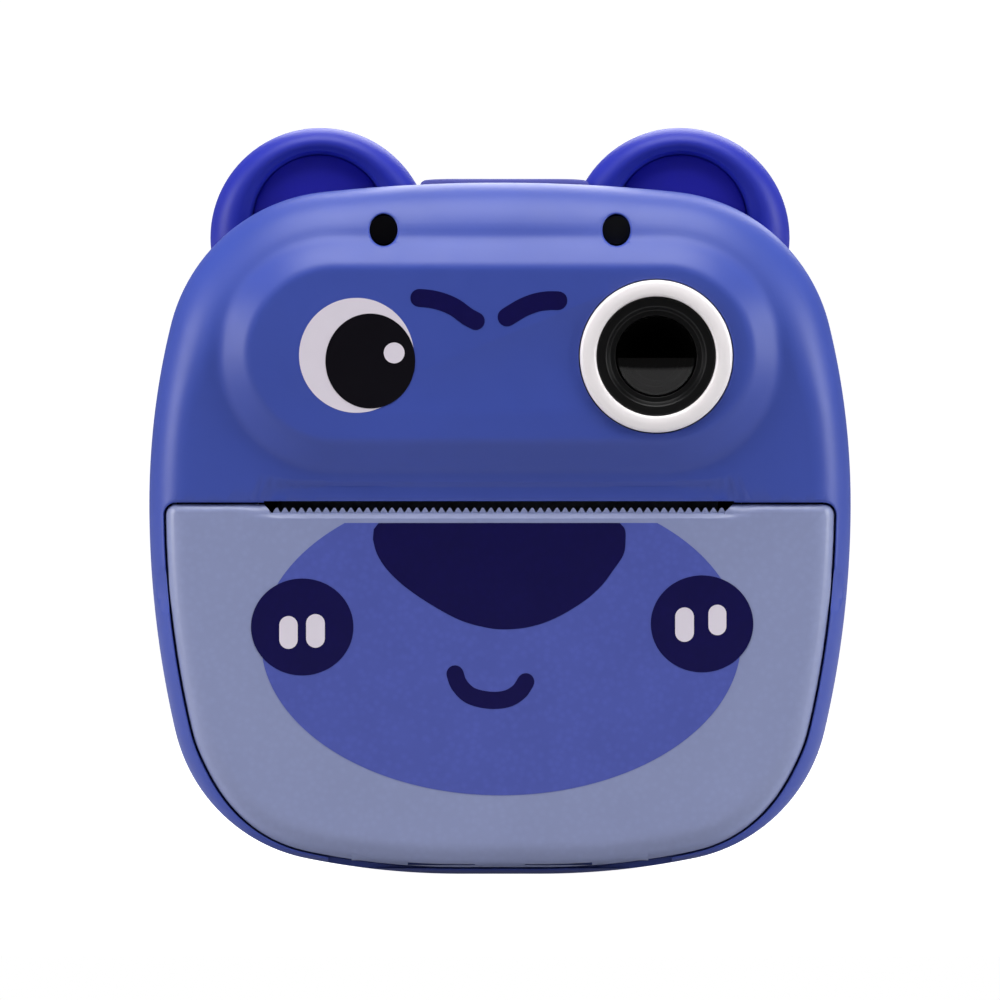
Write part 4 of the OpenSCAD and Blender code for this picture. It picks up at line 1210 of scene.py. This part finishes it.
def ring_pattern(mat, axis_at, spacing, colours):
    """Adds wound layers, seen as fine rings round the X axis, to a finish."""
    _, tree, _, bsdf = mat
    link = tree.links.new
    place = tree.nodes.new("ShaderNodeTexCoord")
    shift = tree.nodes.new("ShaderNodeMapping")
    shift.inputs["Location"].default_value = (0, -axis_at[0] * MM, -axis_at[1] * MM)
    shift.inputs["Scale"].default_value = (0, 1, 1)
    link(place.outputs["Object"], shift.inputs["Vector"])
    reach = node_in(tree, "ShaderNodeVectorMath", operation="LENGTH")
    link(shift.outputs["Vector"], reach.inputs[0])
    wave = node_in(tree, "ShaderNodeMath", operation="MULTIPLY")
    wave.inputs[1].default_value = TAU / (spacing * MM)
    link(reach.outputs["Value"], wave.inputs[0])
    sine = node_in(tree, "ShaderNodeMath", operation="SINE")
    link(wave.outputs[0], sine.inputs[0])
    ramp_node = node_in(tree, "ShaderNodeMapRange")
    set_in(ramp_node, From_Min=-1.0, From_Max=1.0)
    link(sine.outputs[0], ramp_node.inputs["Value"])
    mix = node_in(tree, "ShaderNodeMix", data_type="RGBA")
    mix.inputs[6].default_value, mix.inputs[7].default_value = (linear(c) for c in colours)
    link(ramp_node.outputs["Result"], mix.inputs["Factor"])
    link(mix.outputs[2], bsdf.inputs["Base Color"])


def print_weave(mat, spacing=0.16, depth=0.035):
    """Adds the faint dot screen of a printed layer to a finish."""
    _, tree, effect, bsdf = mat
    link = tree.links.new
    place = tree.nodes.new("ShaderNodeTexCoord")
    dots = node_in(tree, "ShaderNodeTexVoronoi")
    dots.inputs["Scale"].default_value = 1 / (spacing * MM) / 6
    link(place.outputs["Object"], dots.inputs["Vector"])
    tone = node_in(tree, "ShaderNodeMapRange")
    set_in(tone, From_Min=0.0, From_Max=0.6, To_Min=1.0, To_Max=1.0 - depth)
    link(dots.outputs["Distance"], tone.inputs["Value"])
    mix = node_in(tree, "ShaderNodeMix", data_type="RGBA", blend_type="MULTIPLY")
    mix.inputs["Factor"].default_value = 1.0
    link(effect.outputs["Color"], mix.inputs[6])
    link(tone.outputs["Result"], mix.inputs[7])
    link(mix.outputs[2], bsdf.inputs["Base Color"])


def build_finishes(case, ear, ear_hollow_shade, door, muzzle, navy, white, button):
    """Every finish of the camera, by name; those named as slots also dress the parts inside."""
    group_moulded()
    group_brushed()
    moulded("case_blue", case, 0.43, 0.1, 2600.0, 60.0, 0.955, 0.1, Specular_IOR_Level=0.4)
    moulded("button_blue", button, 0.65, 0.1, 2600.0, 90.0, 0.96, 0.08, Specular_IOR_Level=0.04)
    moulded("ear_blue", ear, 0.48, 0.06, 3200.0, 120.0, 0.96, 0.06, Specular_IOR_Level=0.3)
    # Darker blue for the ear hollows: painted shade of the deep recess, not a colour of the plastic.
    moulded("ear_deep_blue", ear_hollow_shade, 0.6, 0.06, 3200.0, 120.0, 0.95, 0.08)
    print_weave(
        moulded(
            "door_blue", door, 0.36, 0.08, 2600.0, 70.0, 0.97, 0.08, Coat_Weight=0.1, Coat_Roughness=0.25
        ),
        depth=0.05
    )
    print_weave(
        moulded("print_muzzle", muzzle, 0.38, 0.06, 2600.0, 150.0, 0.96, 0.05, Specular_IOR_Level=0.2),
        depth=0.1
    )
    print_weave(
        moulded("print_navy", navy, 0.34, 0.05, 2600.0, 150.0, 0.93, 0.05, Specular_IOR_Level=0.2), depth=0.1
    )
    moulded("print_white", white, 0.36, 0.05, 2600.0, 150.0, 0.985, 0.03, Specular_IOR_Level=0.2)
    moulded("print_black", (0.05, 0.04, 0.07), 0.3, 0.05, 2600.0, 150.0, 0.9, 0.03, Specular_IOR_Level=0.2)
    moulded("ring_white", (0.965, 0.945, 0.95), 0.33, 0.08, 2600.0, 140.0, 0.985, 0.05)
    moulded("white_plastic", (0.93, 0.92, 0.93), 0.35, 0.08, 2600.0, 140.0, 0.985, 0.05)
    moulded("key_white", (0.90, 0.90, 0.93), 0.38, 0.08, 2600.0, 140.0, 0.98, 0.06)
    moulded("icon_grey", (0.26, 0.28, 0.42), 0.45, 0.06, 2600.0, 200.0, 0.94, 0.04)
    moulded("black_plastic", (0.06, 0.06, 0.065), 0.4, 0.1, 2600.0, 140.0, 0.85, 0.1)
    moulded("lens_black", (0.028, 0.028, 0.032), 0.36, 0.06, 2600.0, 200.0, 0.9, 0.03, Specular_IOR_Level=0.3)
    moulded(
        "smoked_plastic", (0.015, 0.012, 0.025), 0.3, 0.05, 2600.0, 200.0, 0.9, 0.02, Specular_IOR_Level=0.2
    )
    moulded("grey_plastic", (0.20, 0.21, 0.25), 0.5, 0.12, 1800.0, 110.0, 0.88, 0.16)
    moulded(
        "natural_plastic", (0.88, 0.86, 0.79), 0.42, 0.1, 2200.0, 160.0, 0.96, 0.06, Subsurface_Weight=0.1,
        Subsurface_Scale=0.001
    )
    moulded("rubber", (0.05, 0.05, 0.055), 0.72, 0.1, 1500.0, 160.0, 0.82, 0.25)
    moulded("flap_rubber", tuple(c * 0.94 for c in case), 0.6, 0.1, 1800.0, 160.0, 0.93, 0.15)
    moulded("ceramic", (0.90, 0.88, 0.83), 0.3, 0.1, 1800.0, 260.0, 0.94, 0.04)
    moulded(
        "flex_amber", (0.74, 0.44, 0.12), 0.3, 0.1, 900.0, 260.0, 0.82, 0.05, Coat_Weight=0.3,
        Coat_Roughness=0.15
    )
    moulded("wire_red", (0.72, 0.05, 0.05), 0.4, 0.08, 2200.0, 260.0, 0.88, 0.05)
    moulded("card_core", (0.66, 0.55, 0.42), 0.8, 0.1, 1200.0, 320.0, 0.84, 0.25)
    moulded(
        "board_green", (0.05, 0.27, 0.14), 0.35, 0.14, 1400.0, 420.0, 0.62, 0.12, Coat_Weight=0.3,
        Coat_Roughness=0.2
    )
    paper = moulded("paper_white", (0.95, 0.95, 0.93), 0.62, 0.06, 2200.0, 260.0, 0.98, 0.1)
    roll = centre("paper_roll") / MM
    ring_pattern(paper, (roll.y, roll.z), 0.35, [(0.96, 0.96, 0.94), (0.86, 0.86, 0.84)])
    metal("steel", (0.76, 0.77, 0.79), 0.22)
    metal("motor_can", (0.70, 0.70, 0.71), 0.3, 2200.0, 0.5)
    metal("brass", (0.83, 0.67, 0.36), 0.26, 2600.0, 0.4)
    metal("aluminium", (0.80, 0.81, 0.83), 0.32, 2600.0, 0.02)
    metal("battery_foil", (0.72, 0.73, 0.76), 0.4, 700.0, 0.6, 0.3)
    moulded(
        "lens_glass", (0.22, 0.20, 0.23), 0.04, 0.02, 900.0, 200.0, 0.9, 0.0, Transmission_Weight=1.0,
        IOR=1.45
    )
    moulded(
        "lens_inner", (0.03, 0.008, 0.01), 0.08, 0.02, 900.0, 300.0, 0.6, 0.0, Coat_Weight=0.8,
        Coat_Roughness=0.05
    )
    moulded(
        "screen_glass", (0.012, 0.012, 0.016), 0.09, 0.04, 900.0, 120.0, 0.9, 0.01, Coat_Weight=0.6,
        Coat_Roughness=0.05
    )
    moulded(
        "screen_face", (0.05, 0.055, 0.075), 0.14, 0.05, 1500.0, 120.0, 0.9, 0.01, Coat_Weight=0.6,
        Coat_Roughness=0.05
    )


def dress_inside():
    """Gives every CAD node the finish its record slot names."""
    slots = {s["node"]: s["material_slot"] for s in frame["record"]["subparts"]}
    for name, slot in slots.items():
        obj = frame["nodes"][name]
        obj = OBJECTS[obj] if isinstance(obj, str) else obj
        data = obj.data
        if not data.materials:
            data.materials.append(None)
        for held in obj.material_slots:
            held.link = "OBJECT"
            held.material = MATERIALS["door_blue" if name == "door_frame" else slot]


# ---- Stage, camera and lights ----
CAMERA_LENS = 600.0
CAMERA_AWAY = 2.1395
AIM = Vector((0.0, -0.012, 0.04794))
FLOOR_FRONT = -0.3
FLOOR_HALF = 3.5
COVE = 0.6
WALL_RISE = 1.6
FLOOR_TONE = 0.4
LIT = (0.0, 0.0, 0.05)
KEY_AT, KEY_WIDE, KEY_DEEP = (0.0, -0.26, 1.1), 1.0, 0.8
FILL_AT, FILL_WIDE = (1.05, -0.25, 0.3), 0.6
REAR_AT, REAR_WIDE, REAR_SHARE = (0.1, 0.9, 0.7), 0.7, 0.4


def area_light(name, at, towards, size, power, colour=(1, 1, 1), tall=None):
    light = bpy.data.lights.new(name, "AREA")
    light.shape = "RECTANGLE"
    light.size, light.size_y = size, tall or size
    light.energy = power
    light.color = colour
    obj = OBJECTS.new(name, light)
    obj.location = at
    obj.rotation_euler = (Vector(towards) - Vector(at)).to_track_quat("-Z", "Y").to_euler()
    bpy.context.scene.collection.objects.link(obj)
    return obj


def studio_floor_mesh():
    """Pale floor that curves up into a wall at its far edge."""
    bm = bmesh.new()
    bmesh.ops.create_grid(bm, x_segments=1, y_segments=1, size=FLOOR_HALF)
    far = [e for e in bm.edges if all(v.co.y > 1 for v in e.verts)]
    for k in range(1, 13):
        a = math.pi / 2 * k / 12
        made = bmesh.ops.extrude_edge_only(bm, edges=far)
        far = [g for g in made["geom"] if isinstance(g, bmesh.types.BMEdge)]
        far = [e for e in far if all(v in made["geom"] for v in e.verts)]
        for v in {v for e in far for v in e.verts}:
            v.co.y, v.co.z = FLOOR_HALF + COVE * math.sin(a), COVE * (1 - math.cos(a))
    made = bmesh.ops.extrude_edge_only(bm, edges=far)
    for g in made["geom"]:
        if isinstance(g, bmesh.types.BMVert):
            g.co.z += WALL_RISE
    bmesh.ops.recalc_face_normals(bm, faces=bm.faces)
    mesh = bpy.data.meshes.new("studio_floor")
    bm.to_mesh(mesh)
    bm.free()
    mesh.polygons.foreach_set("use_smooth", [True] * len(mesh.polygons))
    return mesh


def studio_white(backdrop):
    """White for the camera, with a weak glow for everything else; black in front of the object."""
    pale = MATERIALS.new("studio_white")
    pale.use_nodes = True
    tree = pale.node_tree
    shader = tree.nodes["Principled BSDF"]
    place = tree.nodes.new("ShaderNodeTexCoord")
    along = tree.nodes.new("ShaderNodeSeparateXYZ")
    tree.links.new(place.outputs["Object"], along.inputs[0])
    near = node_in(tree, "ShaderNodeMapRange")
    set_in(near, From_Min=FLOOR_FRONT - 0.1, From_Max=FLOOR_FRONT, To_Min=0.0, To_Max=FLOOR_TONE)
    tree.links.new(along.outputs["Y"], near.inputs["Value"])
    tree.links.new(near.outputs["Result"], shader.inputs["Base Color"])
    shader.inputs["Roughness"].default_value = 0.9
    shader.inputs["Specular IOR Level"].default_value = 0.0
    shader.inputs["Emission Color"].default_value = (1, 1, 1, 1)
    view = tree.nodes.new("ShaderNodeLightPath")
    glow = node_in(tree, "ShaderNodeMath", operation="MAXIMUM")
    glow.inputs[1].default_value = backdrop
    tree.links.new(view.outputs["Is Camera Ray"], glow.inputs[0])
    tree.links.new(glow.outputs[0], shader.inputs["Emission Strength"])
    return pale


def studio_room(ambient):
    """Even light all round, dimmed towards -Y, and white for the camera."""
    world = bpy.data.worlds.new("studio")
    world.use_nodes = True
    room = world.node_tree
    place = room.nodes.new("ShaderNodeTexCoord")
    toward = node_in(room, "ShaderNodeVectorMath", operation="DOT_PRODUCT")
    toward.inputs[1].default_value = (0, -1, 0)
    room.links.new(place.outputs["Generated"], toward.inputs[0])
    dim = node_in(room, "ShaderNodeMapRange", interpolation_type="SMOOTHSTEP")
    set_in(dim, From_Min=0.55, From_Max=0.97, To_Min=1.0, To_Max=0.04)
    room.links.new(toward.outputs["Value"], dim.inputs["Value"])
    power = node_in(room, "ShaderNodeMath", operation="MULTIPLY")
    power.inputs[1].default_value = ambient
    room.links.new(dim.outputs["Result"], power.inputs[0])
    seen = room.nodes.new("ShaderNodeLightPath")
    most = node_in(room, "ShaderNodeMath", operation="MAXIMUM")
    room.links.new(power.outputs[0], most.inputs[0])
    room.links.new(seen.outputs["Is Camera Ray"], most.inputs[1])
    room.links.new(most.outputs[0], room.nodes["Background"].inputs["Strength"])
    return world


def build_camera(scene):
    """Long lens, straight at the front."""
    camera = bpy.data.cameras.new("camera")
    camera.lens = CAMERA_LENS
    camera.sensor_width = 36.0
    camera.clip_start, camera.clip_end = 0.05, 20.0
    holder = OBJECTS.new("camera", camera)
    holder.location = AIM + Vector((0, -CAMERA_AWAY, 0))
    holder.rotation_euler = (math.pi / 2, 0, 0)
    scene.collection.objects.link(holder)
    scene.camera = holder


def build_stage(key, fill, ambient, backdrop):
    """Floor and wall, room light, four lamps and the camera."""
    scene = bpy.context.scene
    floor = OBJECTS.new("studio_floor", studio_floor_mesh())
    scene.collection.objects.link(floor)
    floor.data.materials.append(studio_white(backdrop))
    scene.world = studio_room(ambient)
    area_light("key_light", KEY_AT, LIT, KEY_WIDE, key, tall=KEY_DEEP)
    area_light("left_fill", (-FILL_AT[0], *FILL_AT[1:]), LIT, FILL_WIDE, fill, (1.0, 0.98, 1.0))
    area_light("right_fill", FILL_AT, LIT, FILL_WIDE, fill, (0.98, 0.99, 1.0))
    area_light("rear_light", REAR_AT, LIT, REAR_WIDE, key * REAR_SHARE)
    build_camera(scene)
    scene.view_settings.view_transform = "Standard"


# ---- Settings ----
def colour_prop(name, description, default):
    return bpy.props.FloatVectorProperty(
        name=name, description=description, subtype="COLOR", size=3, min=0, max=1, default=default
    )


class BearCameraColours(bpy.types.PropertyGroup):
    """Colours of the camera, as seen on a screen; the ear hollows' colour is painted shade."""

    case: colour_prop("Case", "Colour of the two shells", (0.235, 0.31, 0.662))
    ear: colour_prop("Ears", "Colour of the ears", (0.155, 0.19, 0.655))
    # Painted shade: this darker blue on the ear hollows' floors stands in for the shade of the deep recess.
    ear_hollow_shade: colour_prop("Ear hollows", "Colour inside the ears", (0.12, 0.115, 0.72))
    door: colour_prop("Door", "Colour of the printer door", (0.56, 0.595, 0.755))
    muzzle: colour_prop("Muzzle", "Colour of the muzzle's print", (0.33, 0.375, 0.71))
    navy: colour_prop("Nose and brows", "Colour of the dark prints", (0.062, 0.042, 0.295))
    white: colour_prop("White print", "Colour of the eye and the shines", (0.88, 0.85, 0.895))
    button: colour_prop("Shutter button", "Colour of the shutter button", (0.3, 0.31, 0.58))


class BearCameraStage(bpy.types.PropertyGroup):
    """Light of the studio."""

    key: bpy.props.FloatProperty(
        name="Key light", description="Power of the large light above the front", default=16.5, min=0,
        unit="POWER"
    )
    fill: bpy.props.FloatProperty(
        name="Side lights", description="Power of each side light", default=7.5, min=0, unit="POWER"
    )
    ambient: bpy.props.FloatProperty(
        name="Room light", description="Strength of the even light from all round", default=0.85, min=0
    )
    backdrop: bpy.props.FloatProperty(
        name="Backdrop glow", description="Light given by the backdrop itself", default=0.12, min=0
    )


# ---- Operators ----
class BEARCAM_OT_finishes(bpy.types.Operator):
    """Makes the finishes and gives them to the parts inside"""

    bl_idname = "bearcam.finishes"
    bl_label = "Finishes"

    def execute(self, context):
        c = context.scene.bear_camera_colours
        build_finishes(*(
            tuple(v) for v in (c.case, c.ear, c.ear_hollow_shade, c.door, c.muzzle, c.navy, c.white, c.button)
        ))
        dress_inside()
        return {"FINISHED"}


class BEARCAM_OT_case_front(bpy.types.Operator):
    """Builds the front shell with its eye platform and openings"""

    bl_idname = "bearcam.case_front"
    bl_label = "Front shell"

    def execute(self, context):
        build_case_front()
        return {"FINISHED"}


class BEARCAM_OT_case_back(bpy.types.Operator):
    """Builds the rear shell with its window, key and socket openings"""

    bl_idname = "bearcam.case_back"
    bl_label = "Rear shell"

    def execute(self, context):
        build_case_back()
        build_screws()
        return {"FINISHED"}


class BEARCAM_OT_ears(bpy.types.Operator):
    """Builds the two ears with their hollows"""

    bl_idname = "bearcam.ears"
    bl_label = "Ears"

    def execute(self, context):
        build_ears()
        return {"FINISHED"}


class BEARCAM_OT_shutter_button(bpy.types.Operator):
    """Builds the shutter button on top"""

    bl_idname = "bearcam.shutter_button"
    bl_label = "Shutter button"

    def execute(self, context):
        build_shutter_button()
        return {"FINISHED"}


class BEARCAM_OT_eye_and_brows(bpy.types.Operator):
    """Prints the eye and the brows on the platform"""

    bl_idname = "bearcam.eye_and_brows"
    bl_label = "Eye and brows"

    def execute(self, context):
        build_eye()
        build_brows()
        return {"FINISHED"}


class BEARCAM_OT_lens(bpy.types.Operator):
    """Builds the lens with its white ring"""

    bl_idname = "bearcam.lens"
    bl_label = "Lens"

    def execute(self, context):
        build_lens()
        return {"FINISHED"}


class BEARCAM_OT_door(bpy.types.Operator):
    """Builds the printer door with its tear edge"""

    bl_idname = "bearcam.door"
    bl_label = "Printer door"

    def execute(self, context):
        build_door()
        build_teeth()
        return {"FINISHED"}


class BEARCAM_OT_muzzle(bpy.types.Operator):
    """Prints the muzzle, nose, smile and cheeks on the door"""

    bl_idname = "bearcam.muzzle"
    bl_label = "Muzzle"

    def execute(self, context):
        build_muzzle()
        return {"FINISHED"}


class BEARCAM_OT_screen_and_keys(bpy.types.Operator):
    """Builds the screen and the keys on the rear"""

    bl_idname = "bearcam.screen_and_keys"
    bl_label = "Screen and keys"

    def execute(self, context):
        build_screen()
        build_keys()
        return {"FINISHED"}


class BEARCAM_OT_flap(bpy.types.Operator):
    """Builds the rubber flap over the charging socket"""

    bl_idname = "bearcam.flap"
    bl_label = "Socket flap"

    def execute(self, context):
        build_flap()
        return {"FINISHED"}


class BEARCAM_OT_stage(bpy.types.Operator):
    """Sets up the pale floor, the lights and the camera"""

    bl_idname = "bearcam.stage"
    bl_label = "Stage"

    def execute(self, context):
        s = context.scene.bear_camera_stage
        build_stage(s.key, s.fill, s.ambient, s.backdrop)
        return {"FINISHED"}


STEPS = (
    BEARCAM_OT_stage,
    BEARCAM_OT_finishes,
    BEARCAM_OT_case_front,
    BEARCAM_OT_case_back,
    BEARCAM_OT_ears,
    BEARCAM_OT_shutter_button,
    BEARCAM_OT_eye_and_brows,
    BEARCAM_OT_lens,
    BEARCAM_OT_door,
    BEARCAM_OT_muzzle,
    BEARCAM_OT_screen_and_keys,
    BEARCAM_OT_flap,
)


class BEARCAM_PT_panel(bpy.types.Panel):
    """Lists the pieces of the camera"""

    bl_idname = "BEARCAM_PT_panel"
    bl_label = "Bear Print Camera"
    bl_space_type = "VIEW_3D"
    bl_region_type = "UI"
    bl_category = "Camera"

    def draw(self, context):
        column = self.layout.column(align=True)
        for group in ("bear_camera_colours", "bear_camera_stage"):
            held = getattr(context.scene, group)
            for key in held.__annotations__:
                column.prop(held, key)
        for step in STEPS:
            column.operator(step.bl_idname)


CLASSES = (BearCameraColours, BearCameraStage, *STEPS, BEARCAM_PT_panel)


def register():
    for c in CLASSES:
        bpy.utils.register_class(c)
    bpy.types.Scene.bear_camera_colours = bpy.props.PointerProperty(type=BearCameraColours)
    bpy.types.Scene.bear_camera_stage = bpy.props.PointerProperty(type=BearCameraStage)


def unregister():
    del bpy.types.Scene.bear_camera_stage
    del bpy.types.Scene.bear_camera_colours
    for c in reversed(CLASSES):
        bpy.utils.unregister_class(c)


def main():
    register()
    for step in STEPS:
        getattr(bpy.ops.bearcam, step.bl_idname.split(".")[1])()


if __name__ == "__main__":
    main()
